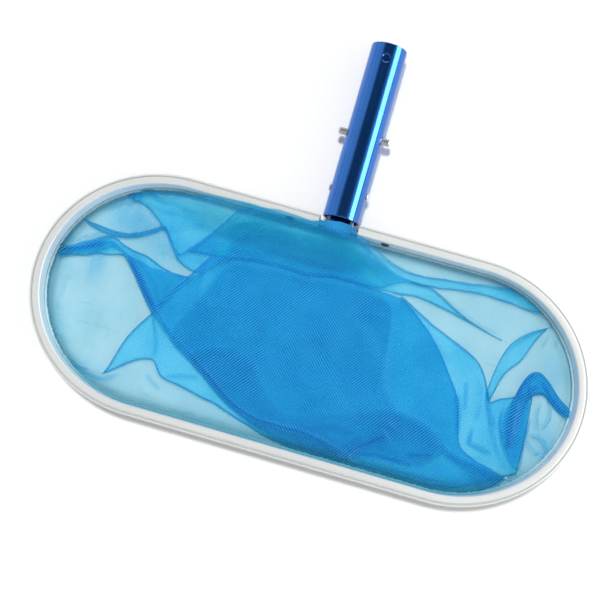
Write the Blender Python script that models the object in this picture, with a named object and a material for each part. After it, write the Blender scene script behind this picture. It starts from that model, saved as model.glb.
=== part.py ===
"""Leaf skimmer net: an aluminium rail bent to a stadium, a blue tube socket for a
telescopic pole, two bent tangs that join them, a spring clip with two press buttons,
and a fine mesh bag held to the rail by a cord in a groove.

Metres, +Z up. +X runs along the net's long side, +Y towards the pole. The skimmer lies
flat: the rail's underside and the lowest line of the tube are at z = 0.
"""

import math

import bmesh
import bpy
from mathutils import Matrix, Vector

MM = 0.001

# ---------------------------------------------------------------- driving dimensions
RAIL_HALF_LENGTH = 233.0 * MM   # half the rail's outer length
RAIL_HALF_WIDTH = 101.0 * MM    # half its outer width
RAIL_END_REACH = 107.5 * MM     # the half-ellipse at each end reaches this far in X
RAIL_HEIGHT = 22.0 * MM
RAIL_WIDTH = 8.8 * MM           # across the section, outer rib included
RAIL_GAP = 33.6 * MM            # between the rail's two ends, at the tube
RIB_WIDTH = 2.1 * MM
RIB_INSET = 1.4 * MM            # the rib stops this far short of the rail's top and underside
RIB_GROOVE = 0.9 * MM           # slot between the rib and the box of the rail
RIB_GROOVE_DEPTH = 2.0 * MM
CORNER_R = 1.5 * MM
WALL_OUT = 1.1 * MM
WALL_IN = 1.2 * MM
CAVITY_LOW = 7.4 * MM           # the rail's hollow, above the cord groove
CAVITY_HIGH = 20.8 * MM
CORD_GROOVE_LOW = 3.2 * MM      # groove in the inner wall that takes the net's cord
CORD_GROOVE_HIGH = 6.2 * MM
CORD_GROOVE_DEPTH = 3.0 * MM
ARC_STEPS = 32                  # stations round each half-ellipse

TUBE_R = 15.25 * MM             # 30.5 mm outside, for inside a 32 mm pole
TUBE_WALL = 1.5 * MM
TUBE_START = 101.3 * MM         # from the net's centre
TUBE_END = 252.3 * MM
TUBE_FACETS = 96
TUBE_CHAMFER = 0.35 * MM

BUTTON_FROM_END = 78.0 * MM
BUTTON_R = 3.25 * MM
BUTTON_HOLE_R = 4.2 * MM
BUTTON_STANDS_OUT = 7.4 * MM
DRAIN_FROM_END = 13.0 * MM      # cross hole near the open end
DRAIN_R = 3.25 * MM

CLIP_THICK = 0.9 * MM
CLIP_HEIGHT = 6.0 * MM
CLIP_HALF_SPAN = 12.65 * MM     # middle of each arm from the tube's axis
CLIP_PIVOT = 136.8 * MM         # where the arms leave the bow, from the net's centre
CLIP_BOW_DEPTH = 6.5 * MM
CLIP_TIP = 6.5 * MM             # the arm runs on past its button

TANG_THICK = 2.8 * MM
TANG_LOW = 8.0 * MM
TANG_HIGH = 20.2 * MM
TANG_LEG_X = 9.9 * MM           # middle of the leg from the tube's axis
TANG_LEG_REACH = 29.0 * MM      # into the tube
TANG_FOOT_END = 62.0 * MM
TANG_BEND_R = 2.0 * MM          # inside the bend

RIVET_R = 2.0 * MM
RIVET_HOLE_R = 2.3 * MM
TUBE_RIVET_FROM_START = 24.5 * MM
RAIL_RIVET_X = 41.0 * MM
RAIL_RIVET_Z = 14.1 * MM

GAP = 0.3 * MM                  # between pieces that touch
CORD_R = 1.2 * MM
HEM_WIDTH = 1.6 * MM
HEM_LOW = 2.8 * MM
HEM_HIGH = 6.4 * MM
BAG_LOW = 0.3 * MM
BAG_HIGH = 5.4 * MM

# The net's centre, so that the whole object's box is centred on the origin.
CENTRE_Y = -(TUBE_END - RAIL_HALF_WIDTH) / 2
TUBE_Z = TUBE_R
BUTTON_Y = TUBE_END - BUTTON_FROM_END


# ---------------------------------------------------------------- helpers
def clear_scene():
    for o in list(bpy.data.objects):
        bpy.data.objects.remove(o, do_unlink=True)
    for m in list(bpy.data.meshes):
        bpy.data.meshes.remove(m)


def material(name, colour, roughness, metallic):
    m = bpy.data.materials.new(name)
    m.use_nodes = True
    b = m.node_tree.nodes["Principled BSDF"]
    b.inputs["Base Color"].default_value = (*colour, 1.0)
    b.inputs["Roughness"].default_value = roughness
    b.inputs["Metallic"].default_value = metallic
    m.diffuse_color = (*colour, 1.0)
    return m


def add_object(name, bm, mat, origin=(0.0, 0.0, 0.0)):
    """A named object whose origin is at the given point; the mesh is in world places."""
    bmesh.ops.translate(bm, vec=-Vector(origin), verts=bm.verts)
    bmesh.ops.recalc_face_normals(bm, faces=bm.faces)
    me = bpy.data.meshes.new(name)
    bm.to_mesh(me)
    bm.free()
    o = bpy.data.objects.new(name, me)
    o.location = origin
    me.materials.append(mat)
    bpy.context.scene.collection.objects.link(o)
    return o


def arc(cx, cy, r, a0, a1, steps):
    return [
        (
            cx + r * math.cos(math.radians(a0 + (a1 - a0) * i / steps)),
            cy + r * math.sin(math.radians(a0 + (a1 - a0) * i / steps)),
        )
        for i in range(steps + 1)
    ]


def rail_stations(closed):
    """(point, outward normal) pairs of the rail's outer line in plan, from the left of the
    handle round the far side to its right. Closed, it goes on across the handle."""
    straight = RAIL_HALF_LENGTH - RAIL_END_REACH
    start = RAIL_GAP / 2
    out = []
    if closed:
        out.append((Vector((0.0, RAIL_HALF_WIDTH)), Vector((0.0, 1.0))))
    out.append((Vector((-start, RAIL_HALF_WIDTH)), Vector((0.0, 1.0))))
    for side, first in ((-1, 90.0), (1, 270.0)):
        for i in range(ARC_STEPS + 1):
            a = math.radians(first + 180.0 * i / ARC_STEPS)
            c, s = math.cos(a), math.sin(a)
            p = Vector((side * straight + RAIL_END_REACH * c, RAIL_HALF_WIDTH * s))
            n = Vector((c / RAIL_END_REACH, s / RAIL_HALF_WIDTH)).normalized()
            out.append((p, n))
    out.append((Vector((start, RAIL_HALF_WIDTH)), Vector((0.0, 1.0))))
    return out


def sweep(bm, stations, section, closed):
    """Carries a closed section of (inset, z) points round the stations; returns its rings."""
    rings = []
    for p, n in stations:
        rings.append(
            [
                bm.verts.new((p.x - n.x * s, p.y - n.y * s + CENTRE_Y, z))
                for s, z in section
            ]
        )
    count = len(rings)
    for i in range(count if closed else count - 1):
        a, b = rings[i], rings[(i + 1) % count]
        for j in range(len(section)):
            k = (j + 1) % len(section)
            bm.faces.new((a[j], a[k], b[k], b[j]))
    return rings


def ring_edges(bm, ring):
    return [
        bm.edges.get((ring[i], ring[(i + 1) % len(ring)])) for i in range(len(ring))
    ]


def prism(points, low, high, place):
    """A closed outline carried straight from low to high; place turns (u, v, w) to XYZ."""
    bm = bmesh.new()
    a = [bm.verts.new(place(u, v, low)) for u, v in points]
    b = [bm.verts.new(place(u, v, high)) for u, v in points]
    bm.faces.new(a)
    bm.faces.new(list(reversed(b)))
    for i in range(len(a)):
        j = (i + 1) % len(a)
        bm.faces.new((a[i], b[i], b[j], a[j]))
    return bm


def lathe_x(profile, centre_y, centre_z, facets, direction):
    """A solid of revolution about a line along X: profile is (distance along X, radius),
    starting and ending on the axis."""
    bm = bmesh.new()
    rings = []
    for x, r in profile:
        if r < 1e-9:
            rings.append([bm.verts.new((direction * x, centre_y, centre_z))])
        else:
            rings.append(
                [
                    bm.verts.new(
                        (
                            direction * x,
                            centre_y + r * math.cos(2 * math.pi * i / facets),
                            centre_z + r * math.sin(2 * math.pi * i / facets),
                        )
                    )
                    for i in range(facets)
                ]
            )
    for a, b in zip(rings, rings[1:]):
        for i in range(facets):
            j = (i + 1) % facets
            if len(a) == 1:
                bm.faces.new((a[0], b[i], b[j]))
            elif len(b) == 1:
                bm.faces.new((a[i], a[j], b[0]))
            else:
                bm.faces.new((a[i], a[j], b[j], b[i]))
    return bm


def cutter(name, centre, axis, radius, length, facets=40):
    bm = bmesh.new()
    turn = Vector((0, 0, 1)).rotation_difference(Vector(axis)).to_matrix().to_4x4()
    bmesh.ops.create_cone(
        bm,
        cap_ends=True,
        segments=facets,
        radius1=radius,
        radius2=radius,
        depth=length,
        matrix=Matrix.Translation(Vector(centre)) @ turn,
    )
    me = bpy.data.meshes.new(name)
    bm.to_mesh(me)
    bm.free()
    o = bpy.data.objects.new(name, me)
    bpy.context.scene.collection.objects.link(o)
    o.hide_render = True
    o.display_type = "WIRE"
    return o


def cut(target, *tools):
    """Cuts the tools out of the target and leaves a plain mesh."""
    for t in tools:
        m = target.modifiers.new(t.name, "BOOLEAN")
        m.operation = "DIFFERENCE"
        m.object = t
    graph = bpy.context.evaluated_depsgraph_get()
    graph.update()
    me = bpy.data.meshes.new_from_object(target.evaluated_get(graph))
    me.name = target.name
    old = target.data
    target.modifiers.clear()
    target.data = me
    bpy.data.meshes.remove(old)
    for t in tools:
        data = t.data
        bpy.data.objects.remove(t, do_unlink=True)
        bpy.data.meshes.remove(data)


# ---------------------------------------------------------------- materials
def make_materials():
    return {
        "rail_aluminium": material("rail_aluminium", (0.80, 0.82, 0.82), 0.32, 0.9),
        "blue_tube": material("blue_tube", (0.03, 0.15, 0.55), 0.22, 0.9),
        "bright_steel": material("bright_steel", (0.72, 0.73, 0.74), 0.25, 1.0),
        "spring_steel": material("spring_steel", (0.45, 0.46, 0.48), 0.35, 1.0),
        "net_mesh": material("net_mesh", (0.08, 0.45, 0.72), 0.6, 0.0),
        "net_binding": material("net_binding", (0.04, 0.30, 0.48), 0.7, 0.0),
        "cord_plastic": material("cord_plastic", (0.05, 0.18, 0.28), 0.5, 0.0),
    }


# ---------------------------------------------------------------- the rail
def rail_section():
    """The rail's outer line as (inset, z), anticlockwise with the inset to the right."""
    w, h, r = RAIL_WIDTH, RAIL_HEIGHT, CORNER_R
    box = RIB_WIDTH + RIB_GROOVE
    ro = 1.0 * MM
    rib = RIB_WIDTH / 2
    pts = []
    pts += arc(w - r, r, r, -90, 0, 3)
    pts += [
        (w, CORD_GROOVE_LOW),
        (w - CORD_GROOVE_DEPTH, CORD_GROOVE_LOW),
        (w - CORD_GROOVE_DEPTH, CORD_GROOVE_HIGH),
        (w, CORD_GROOVE_HIGH),
    ]
    pts += arc(w - r, h - r, r, 0, 90, 3)
    pts += arc(box + ro, h - ro, ro, 90, 180, 2)
    low = h - RIB_INSET - RIB_GROOVE_DEPTH
    pts += [(box, low), (RIB_WIDTH, low)]
    pts += arc(rib, h - RIB_INSET - rib, rib, 0, 180, 4)
    pts += arc(rib, RIB_INSET + rib, rib, 180, 360, 4)
    pts += [(RIB_WIDTH, h - low), (box, h - low)]
    pts += arc(box + ro, ro, ro, 180, 270, 2)
    return pts


def cavity_section():
    box = RIB_WIDTH + RIB_GROOVE
    s0, s1 = box + WALL_OUT, RAIL_WIDTH - WALL_IN
    return [
        (s0, CAVITY_LOW),
        (s1, CAVITY_LOW),
        (s1, CAVITY_HIGH),
        (s0, CAVITY_HIGH),
    ]


def make_rail(mats):
    bm = bmesh.new()
    stations = rail_stations(False)
    outer = sweep(bm, stations, rail_section(), False)
    inner = sweep(bm, stations, cavity_section(), False)
    for end in (0, -1):
        bmesh.ops.triangle_fill(
            bm,
            use_beauty=True,
            edges=ring_edges(bm, outer[end]) + ring_edges(bm, inner[end]),
        )
    rail = add_object("frame_rail", bm, mats["rail_aluminium"])
    wall = RAIL_HALF_WIDTH - RAIL_WIDTH + CENTRE_Y
    cut(
        rail,
        *[
            cutter(
                f"rail_hole_{side}",
                (side * RAIL_RIVET_X, wall + WALL_IN / 2, RAIL_RIVET_Z),
                (0, 1, 0),
                RIVET_HOLE_R,
                WALL_IN + 1.0 * MM,
                24,
            )
            for side in (-1, 1)
        ],
    )
    return rail


# ---------------------------------------------------------------- the net and its edge
def round_section(inset, z, r, facets):
    return [
        (
            inset + r * math.cos(2 * math.pi * (i + 0.5) / facets),
            z + r * math.sin(2 * math.pi * (i + 0.5) / facets),
        )
        for i in range(facets)
    ]


def make_net(mats):
    stations = rail_stations(True)
    bm = bmesh.new()
    inset = RAIL_WIDTH - CORD_GROOVE_DEPTH + GAP + CORD_R
    sweep(
        bm,
        stations,
        round_section(inset, (CORD_GROOVE_LOW + CORD_GROOVE_HIGH) / 2, CORD_R, 8),
        True,
    )
    add_object("net_cord", bm, mats["cord_plastic"])

    bm = bmesh.new()
    s0, c = RAIL_WIDTH + GAP, 0.5 * MM
    s1 = s0 + HEM_WIDTH
    sweep(
        bm,
        stations,
        [
            (s0 + c, HEM_LOW),
            (s1 - c, HEM_LOW),
            (s1, HEM_LOW + c),
            (s1, HEM_HIGH - c),
            (s1 - c, HEM_HIGH),
            (s0 + c, HEM_HIGH),
            (s0, HEM_HIGH - c),
            (s0, HEM_LOW + c),
        ],
        True,
    )
    add_object("net_hem", bm, mats["net_binding"])

    bm = bmesh.new()
    s0 = s1 + GAP
    rings = []
    for extra, z in ((0.8, BAG_LOW), (0.0, BAG_LOW + 0.8 * MM), (0.0, BAG_HIGH - 0.8 * MM), (0.8, BAG_HIGH)):
        s = s0 + extra * MM
        rings.append(
            [bm.verts.new((p.x - n.x * s, p.y - n.y * s + CENTRE_Y, z)) for p, n in stations]
        )
    for a, b in zip(rings, rings[1:]):
        for i in range(len(a)):
            j = (i + 1) % len(a)
            bm.faces.new((a[i], a[j], b[j], b[i]))
    bm.faces.new(list(reversed(rings[0])))
    bm.faces.new(rings[-1])
    add_object("net_bag", bm, mats["net_mesh"])


# ---------------------------------------------------------------- tangs and rivets
def tang_outline():
    """The tang in plan at the right-hand side, anticlockwise, from the net's centre."""
    t, r = TANG_THICK, TANG_BEND_R
    x0, x1 = TANG_LEG_X - t / 2, TANG_LEG_X + t / 2
    mid = RAIL_HALF_WIDTH - (
        RIB_WIDTH + RIB_GROOVE + WALL_OUT + RAIL_WIDTH - WALL_IN
    ) / 2
    y0, y1 = mid - t / 2, mid + t / 2
    top = TUBE_START + TANG_LEG_REACH
    cx, cy = x1 + r, y1 + r
    pts = [(TANG_FOOT_END, y0), (TANG_FOOT_END, y1)]
    pts += arc(cx, cy, r, 270, 180, 6)
    pts += [(x1, top), (x0, top)]
    pts += arc(cx, cy, r + t, 180, 270, 8)
    return pts, mid


def make_tangs(mats):
    outline, mid = tang_outline()
    for side, word in ((-1, "left"), (1, "right")):
        bm = prism(
            outline,
            TANG_LOW,
            TANG_HIGH,
            lambda u, v, w: (side * u, v + CENTRE_Y, w),
        )
        tang = add_object(f"tang_{word}", bm, mats["bright_steel"])
        cut(
            tang,
            cutter(
                f"tang_rail_hole_{word}",
                (side * RAIL_RIVET_X, mid + CENTRE_Y, RAIL_RIVET_Z),
                (0, 1, 0),
                RIVET_HOLE_R,
                TANG_THICK + 2 * MM,
                24,
            ),
            cutter(
                f"tang_tube_hole_{word}",
                (
                    side * TANG_LEG_X,
                    TUBE_START + TUBE_RIVET_FROM_START + CENTRE_Y,
                    TUBE_Z,
                ),
                (1, 0, 0),
                RIVET_HOLE_R,
                TANG_THICK + 2 * MM,
                24,
            ),
        )

        # Rail rivet: a dome on the rail's inner wall, its shank through wall and tang.
        face = RAIL_HALF_WIDTH - RAIL_WIDTH - GAP
        bm = lathe_x(
            [
                (-1.6 * MM, 0.0),
                (-1.45 * MM, 1.5 * MM),
                (-1.0 * MM, 2.7 * MM),
                (-0.35 * MM, 3.5 * MM),
                (0.0, 3.6 * MM),
                (0.0, RIVET_R),
                (mid + TANG_THICK / 2 - face, RIVET_R),
                (mid + TANG_THICK / 2 - face, 0.0),
            ],
            0.0,
            0.0,
            24,
            1,
        )
        bmesh.ops.transform(
            bm,
            matrix=Matrix.Translation((side * RAIL_RIVET_X, face + CENTRE_Y, RAIL_RIVET_Z))
            @ Matrix.Rotation(math.radians(90), 4, "Z"),
            verts=bm.verts,
        )
        add_object(f"rail_rivet_{word}", bm, mats["bright_steel"])

        # Tube rivet: a dome outside the tube, a shank and a formed head inside the tang.
        x_in = TANG_LEG_X - TANG_THICK / 2 - GAP
        head = TUBE_R + 0.25 * MM
        bm = lathe_x(
            [
                (x_in - 1.1 * MM, 0.0),
                (x_in - 1.1 * MM, 2.3 * MM),
                (x_in - 0.5 * MM, 2.9 * MM),
                (x_in, 2.9 * MM),
                (x_in, RIVET_R),
                (head, RIVET_R),
                (head, 3.0 * MM),
                (head + 0.6 * MM, 2.85 * MM),
                (head + 1.2 * MM, 2.1 * MM),
                (head + 1.5 * MM, 1.1 * MM),
                (head + 1.6 * MM, 0.0),
            ],
            TUBE_START + TUBE_RIVET_FROM_START + CENTRE_Y,
            TUBE_Z,
            24,
            side,
        )
        add_object(f"tube_rivet_{word}", bm, mats["bright_steel"])


# ---------------------------------------------------------------- the tube
def make_tube(mats):
    bm = bmesh.new()
    c, r, w = TUBE_CHAMFER, TUBE_R, TUBE_WALL
    y0, y1 = TUBE_START + CENTRE_Y, TUBE_END + CENTRE_Y
    profile = [
        (y0 + c, r),
        (y1 - c, r),
        (y1, r - c),
        (y1, r - w + c),
        (y1 - c, r - w),
        (y0 + c, r - w),
        (y0, r - w + c),
        (y0, r - c),
    ]
    rings = [
        [
            bm.verts.new(
                (
                    rr * math.sin(2 * math.pi * i / TUBE_FACETS),
                    y,
                    TUBE_Z - rr * math.cos(2 * math.pi * i / TUBE_FACETS),
                )
            )
            for i in range(TUBE_FACETS)
        ]
        for y, rr in profile
    ]
    for k in range(len(rings)):
        a, b = rings[k], rings[(k + 1) % len(rings)]
        for i in range(TUBE_FACETS):
            j = (i + 1) % TUBE_FACETS
            bm.faces.new((a[i], a[j], b[j], b[i]))
    tube = add_object("handle_tube", bm, mats["blue_tube"])
    cut(
        tube,
        cutter(
            "tube_button_holes",
            (0, BUTTON_Y + CENTRE_Y, TUBE_Z),
            (1, 0, 0),
            BUTTON_HOLE_R,
            2 * TUBE_R + 4 * MM,
        ),
        cutter(
            "tube_cross_hole",
            (0, TUBE_END - DRAIN_FROM_END + CENTRE_Y, TUBE_Z),
            (0, 0, 1),
            DRAIN_R,
            2 * TUBE_R + 4 * MM,
        ),
        cutter(
            "tube_rivet_holes",
            (0, TUBE_START + TUBE_RIVET_FROM_START + CENTRE_Y, TUBE_Z),
            (1, 0, 0),
            RIVET_HOLE_R,
            2 * TUBE_R + 4 * MM,
            24,
        ),
    )
    return tube


# ---------------------------------------------------------------- the spring clip
def make_clip(mats):
    t, half = CLIP_THICK, CLIP_HEIGHT / 2
    steps = 20
    outer, inner = [], []
    for i in range(steps + 1):
        a = math.pi * i / steps
        c, s = math.cos(a), math.sin(a)
        p = Vector((CLIP_HALF_SPAN * c, CLIP_PIVOT - CLIP_BOW_DEPTH * s))
        n = Vector((c / CLIP_HALF_SPAN, -s / CLIP_BOW_DEPTH)).normalized()
        outer.append(tuple(p + n * t / 2))
        inner.append(tuple(p - n * t / 2))
    bm = prism(
        outer + list(reversed(inner)),
        TUBE_Z - half,
        TUBE_Z + half,
        lambda u, v, w: (u, v + CENTRE_Y, w),
    )
    add_object("clip_bow", bm, mats["spring_steel"])

    for side, word in ((-1, "left"), (1, "right")):
        pivot = (side * CLIP_HALF_SPAN, CLIP_PIVOT + CENTRE_Y, TUBE_Z)
        top = BUTTON_Y + CLIP_TIP - half
        outline = [(CLIP_PIVOT + GAP, TUBE_Z - half)]
        outline += arc(top, TUBE_Z, half, -90, 90, 10)
        outline += [(CLIP_PIVOT + GAP, TUBE_Z + half)]
        bm = prism(
            outline,
            CLIP_HALF_SPAN - t / 2,
            CLIP_HALF_SPAN + t / 2,
            lambda u, v, w: (side * w, u + CENTRE_Y, v),
        )
        arm = add_object(f"clip_arm_{word}", bm, mats["spring_steel"], pivot)
        cut(
            arm,
            cutter(
                f"arm_hole_{word}",
                (side * CLIP_HALF_SPAN, BUTTON_Y + CENTRE_Y, TUBE_Z),
                (1, 0, 0),
                1.8 * MM,
                4 * MM,
                24,
            ),
        )

        x_in = CLIP_HALF_SPAN - t / 2 - GAP
        x_out = CLIP_HALF_SPAN + t / 2 + GAP
        tip = TUBE_R + BUTTON_STANDS_OUT
        dome = 2.2 * MM
        profile = [
            (x_in - 0.8 * MM, 0.0),
            (x_in - 0.8 * MM, 2.2 * MM),
            (x_in - 0.4 * MM, 2.6 * MM),
            (x_in, 2.6 * MM),
            (x_in, 1.5 * MM),
            (x_out, 1.5 * MM),
            (x_out, BUTTON_R),
        ]
        for i in range(7):
            a = math.radians(90.0 * i / 7)
            profile.append((tip - dome + dome * math.sin(a), BUTTON_R * math.cos(a)))
        profile.append((tip, 0.0))
        bm = lathe_x(profile, BUTTON_Y + CENTRE_Y, TUBE_Z, 32, side)
        add_object(f"button_{word}", bm, mats["bright_steel"], pivot)


def build():
    clear_scene()
    mats = make_materials()
    make_rail(mats)
    make_net(mats)
    make_tangs(mats)
    make_tube(mats)
    make_clip(mats)


build()
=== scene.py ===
import math

import bmesh
import bpy
import numpy as np
from mathutils import Matrix, Vector


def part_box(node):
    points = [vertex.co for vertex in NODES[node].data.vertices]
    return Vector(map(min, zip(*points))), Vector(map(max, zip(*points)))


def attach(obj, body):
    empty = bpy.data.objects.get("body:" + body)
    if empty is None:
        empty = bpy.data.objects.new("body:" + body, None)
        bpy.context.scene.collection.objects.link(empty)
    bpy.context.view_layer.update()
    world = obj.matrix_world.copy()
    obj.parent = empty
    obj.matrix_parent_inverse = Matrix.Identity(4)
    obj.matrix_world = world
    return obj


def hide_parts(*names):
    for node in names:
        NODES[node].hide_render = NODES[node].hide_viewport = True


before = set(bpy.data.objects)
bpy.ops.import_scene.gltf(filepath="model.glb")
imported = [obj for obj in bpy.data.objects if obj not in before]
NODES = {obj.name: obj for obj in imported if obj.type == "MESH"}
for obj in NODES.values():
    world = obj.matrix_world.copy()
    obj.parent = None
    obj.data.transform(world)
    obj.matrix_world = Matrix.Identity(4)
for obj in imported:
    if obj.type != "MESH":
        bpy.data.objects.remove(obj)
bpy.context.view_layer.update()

MM = 0.001
SCENE = bpy.context.scene


# =====================================================================================
# Small helpers
# =====================================================================================
def mesh_object(name, verts, faces, uvs=None, smooth=True):
    """A mesh object in the row frame; uvs has one (u, v) for each vertex."""
    me = bpy.data.meshes.new(name)
    me.from_pydata([tuple(v) for v in verts], [], [tuple(f) for f in faces])
    me.validate(verbose=False)
    me.update()
    if uvs is not None:
        layer = me.uv_layers.new(name="UVMap")
        uvs = np.asarray(uvs, float)
        idx = np.empty(len(me.loops), np.int32)
        me.loops.foreach_get("vertex_index", idx)
        layer.data.foreach_set("uv", uvs[idx].ravel())
    if smooth:
        me.shade_smooth()
    o = bpy.data.objects.new(name, me)
    SCENE.collection.objects.link(o)
    return o


def from_bmesh(name, bm, smooth=True, angle=None):
    bmesh.ops.recalc_face_normals(bm, faces=bm.faces)
    me = bpy.data.meshes.new(name)
    bm.to_mesh(me)
    bm.free()
    if smooth:
        me.shade_smooth()
        if angle is not None:
            me.set_sharp_from_angle(angle=math.radians(angle))
    o = bpy.data.objects.new(name, me)
    SCENE.collection.objects.link(o)
    return o


def set_material(o, m):
    o.data.materials.clear()
    o.data.materials.append(m)
    return o


def bake_modifiers(o):
    """Applies the object's modifiers and leaves a plain mesh."""
    graph = bpy.context.evaluated_depsgraph_get()
    graph.update()
    me = bpy.data.meshes.new_from_object(o.evaluated_get(graph))
    me.name = o.name
    old = o.data
    o.modifiers.clear()
    o.data = me
    if old.users == 0:
        bpy.data.meshes.remove(old)
    return o


def smoothstep(t):
    t = np.clip(t, 0.0, 1.0)
    return t * t * (3 - 2 * t)


def wave_noise(x, y, seed, scale, count=7):
    """Smooth fixed noise about -1 to 1 from a few plane waves; scale is the mean wavelength."""
    rng = np.random.RandomState(seed)
    out = np.zeros_like(x, float)
    for _ in range(count):
        a = rng.uniform(0, 2 * math.pi)
        k = 2 * math.pi / (scale * rng.uniform(0.6, 1.7))
        out += np.sin(k * (x * math.cos(a) + y * math.sin(a)) + rng.uniform(0, 2 * math.pi))
    return out / math.sqrt(count) * 0.9


# =====================================================================================
# The frame's own numbers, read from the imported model
# =====================================================================================
rail_lo, rail_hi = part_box("frame_rail")
tube_lo, tube_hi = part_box("handle_tube")

HALF_L = (rail_hi.x - rail_lo.x) / 2
HALF_W = (rail_hi.y - rail_lo.y) / 2
CEN_Y = (rail_hi.y + rail_lo.y) / 2
RAIL_H = rail_hi.z
END_REACH = 107.5 * MM
STRAIGHT = HALF_L - END_REACH
RAIL_WIDTH = 8.8 * MM
HALF_GAP = 16.8 * MM


# =====================================================================================
# Materials
# =====================================================================================
class Nodes:
    """Short names for building a node tree."""

    def __init__(self, name):
        self.m = bpy.data.materials.new(name)
        self.m.use_nodes = True
        self.t = self.m.node_tree
        self.p = self.t.nodes["Principled BSDF"]
        self.out = self.t.nodes["Material Output"]

    def add(self, kind, **values):
        n = self.t.nodes.new(kind)
        for k, v in values.items():
            setattr(n, k, v)
        return n

    def link(self, a, b):
        self.t.links.new(a, b)

    def _put(self, socket, v):
        if v is None:
            return
        if hasattr(v, "is_output"):
            self.link(v, socket)
        else:
            socket.default_value = v

    def math(self, op, a=None, b=None, c=None, clamp=False):
        n = self.add("ShaderNodeMath", operation=op, use_clamp=clamp)
        for s, v in zip(n.inputs, (a, b, c)):
            self._put(s, v)
        return n.outputs[0]

    def noise(self, vec, scale, detail=3.0, rough=0.5, distortion=0.0, dims="3D"):
        n = self.add("ShaderNodeTexNoise", noise_dimensions=dims)
        self.link(vec, n.inputs["Vector"])
        n.inputs["Scale"].default_value = scale
        n.inputs["Detail"].default_value = detail
        n.inputs["Roughness"].default_value = rough
        n.inputs["Distortion"].default_value = distortion
        return n.outputs["Fac"]

    def voronoi(self, vec, scale, feature="F1", out="Distance"):
        n = self.add("ShaderNodeTexVoronoi", feature=feature)
        self.link(vec, n.inputs["Vector"])
        n.inputs["Scale"].default_value = scale
        return n.outputs[out]

    def mapping(self, vec, scale=(1, 1, 1), rot=(0, 0, 0), loc=(0, 0, 0)):
        n = self.add("ShaderNodeMapping")
        self.link(vec, n.inputs["Vector"])
        n.inputs["Scale"].default_value = scale
        n.inputs["Rotation"].default_value = rot
        n.inputs["Location"].default_value = loc
        return n.outputs[0]

    def ramp(self, v, lo, hi, to_lo=0.0, to_hi=1.0, smooth=True):
        n = self.add(
            "ShaderNodeMapRange", interpolation_type="SMOOTHSTEP" if smooth else "LINEAR"
        )
        self.link(v, n.inputs["Value"])
        n.inputs["From Min"].default_value = lo
        n.inputs["From Max"].default_value = hi
        n.inputs["To Min"].default_value = to_lo
        n.inputs["To Max"].default_value = to_hi
        return n.outputs["Result"]

    def mix(self, fac, a, b, mode="MIX"):
        n = self.add("ShaderNodeMix", data_type="RGBA", blend_type=mode)
        self._put(n.inputs["Factor"], fac)
        for s, v in ((n.inputs[6], a), (n.inputs[7], b)):
            if hasattr(v, "is_output"):
                self.link(v, s)
            else:
                s.default_value = (*v, 1.0)
        return n.outputs[2]

    def bump(self, height, distance, strength=1.0, normal=None):
        n = self.add("ShaderNodeBump")
        self.link(height, n.inputs["Height"])
        n.inputs["Distance"].default_value = distance
        n.inputs["Strength"].default_value = strength
        if normal is not None:
            self.link(normal, n.inputs["Normal"])
        return n.outputs[0]

    def coords(self, which="Object"):
        return self.add("ShaderNodeTexCoord").outputs[which]


def rail_material():
    n = Nodes("rail_aluminium")
    uv = n.coords("UV")
    obj = n.coords("Object")
    # Extrusion lines run along the rail: the coordinate along it is squeezed flat.
    lines = n.noise(n.mapping(uv, (6, 2600, 1)), 1.0, 4.0, 0.65)
    fine = n.noise(n.mapping(uv, (40, 9000, 1)), 1.0, 2.0, 0.6)
    cloud = n.noise(obj, 22.0, 3.0, 0.55)
    speck = n.noise(obj, 900.0, 2.0, 0.6)
    rub = n.math("MULTIPLY", n.ramp(n.noise(obj, 75.0, 4.0, 0.7), 0.58, 0.74), n.ramp(fine, 0.45, 0.7))
    c = n.mix(n.ramp(lines, 0.3, 0.7), (0.655, 0.680, 0.675), (0.745, 0.765, 0.755))
    c = n.mix(n.ramp(cloud, 0.35, 0.7, 0.0, 0.35), c, (0.63, 0.655, 0.66))
    c = n.mix(n.math("MULTIPLY", rub, 0.45), c, (0.52, 0.54, 0.55))
    # painted light and shade: the upright inner walls are painted lighter and cooler than the top as painted light, and
    # the outward-facing walls are painted dark as a painted contact shadow
    way = n.add("ShaderNodeSeparateXYZ")
    n.link(n.coords("Normal"), way.inputs[0])
    upright = n.ramp(n.math("ABSOLUTE", way.outputs[2]), 0.10, 0.55, 1.0, 0.0)
    place = n.add("ShaderNodeSeparateXYZ")
    n.link(obj, place.inputs[0])
    reach = n.math("SUBTRACT", place.outputs[0], n.math("MAXIMUM", n.math("MINIMUM", place.outputs[0], STRAIGHT), -STRAIGHT))
    out_x = n.math("MULTIPLY", reach, way.outputs[0])
    out_y = n.math("MULTIPLY", n.math("SUBTRACT", place.outputs[1], CEN_Y), way.outputs[1])
    outer = n.ramp(n.math("ADD", out_x, out_y), 0.0, 0.01)
    painted_wall_tone = n.mix(n.ramp(lines, 0.3, 0.7), (0.86, 0.90, 0.905), (0.91, 0.945, 0.95))
    # painted shade: outward-facing walls take a dark grey standing in for the shadow at the rail's foot
    painted_wall_tone = n.mix(outer, painted_wall_tone, n.mix(n.ramp(lines, 0.3, 0.7), (0.36, 0.375, 0.38), (0.44, 0.455, 0.46)))
    c = n.mix(upright, c, painted_wall_tone)
    n.link(c, n.p.inputs["Base Color"])
    r = n.math("ADD", n.ramp(lines, 0.25, 0.75, 0.48, 0.60), n.ramp(speck, 0.3, 0.7, -0.04, 0.05))
    n.link(r, n.p.inputs["Roughness"])
    n.p.inputs["Metallic"].default_value = 0.30
    b = n.bump(lines, 0.00012, 0.5)
    b = n.bump(speck, 0.00004, 0.5, b)
    n.link(b, n.p.inputs["Normal"])
    return n.m


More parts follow.
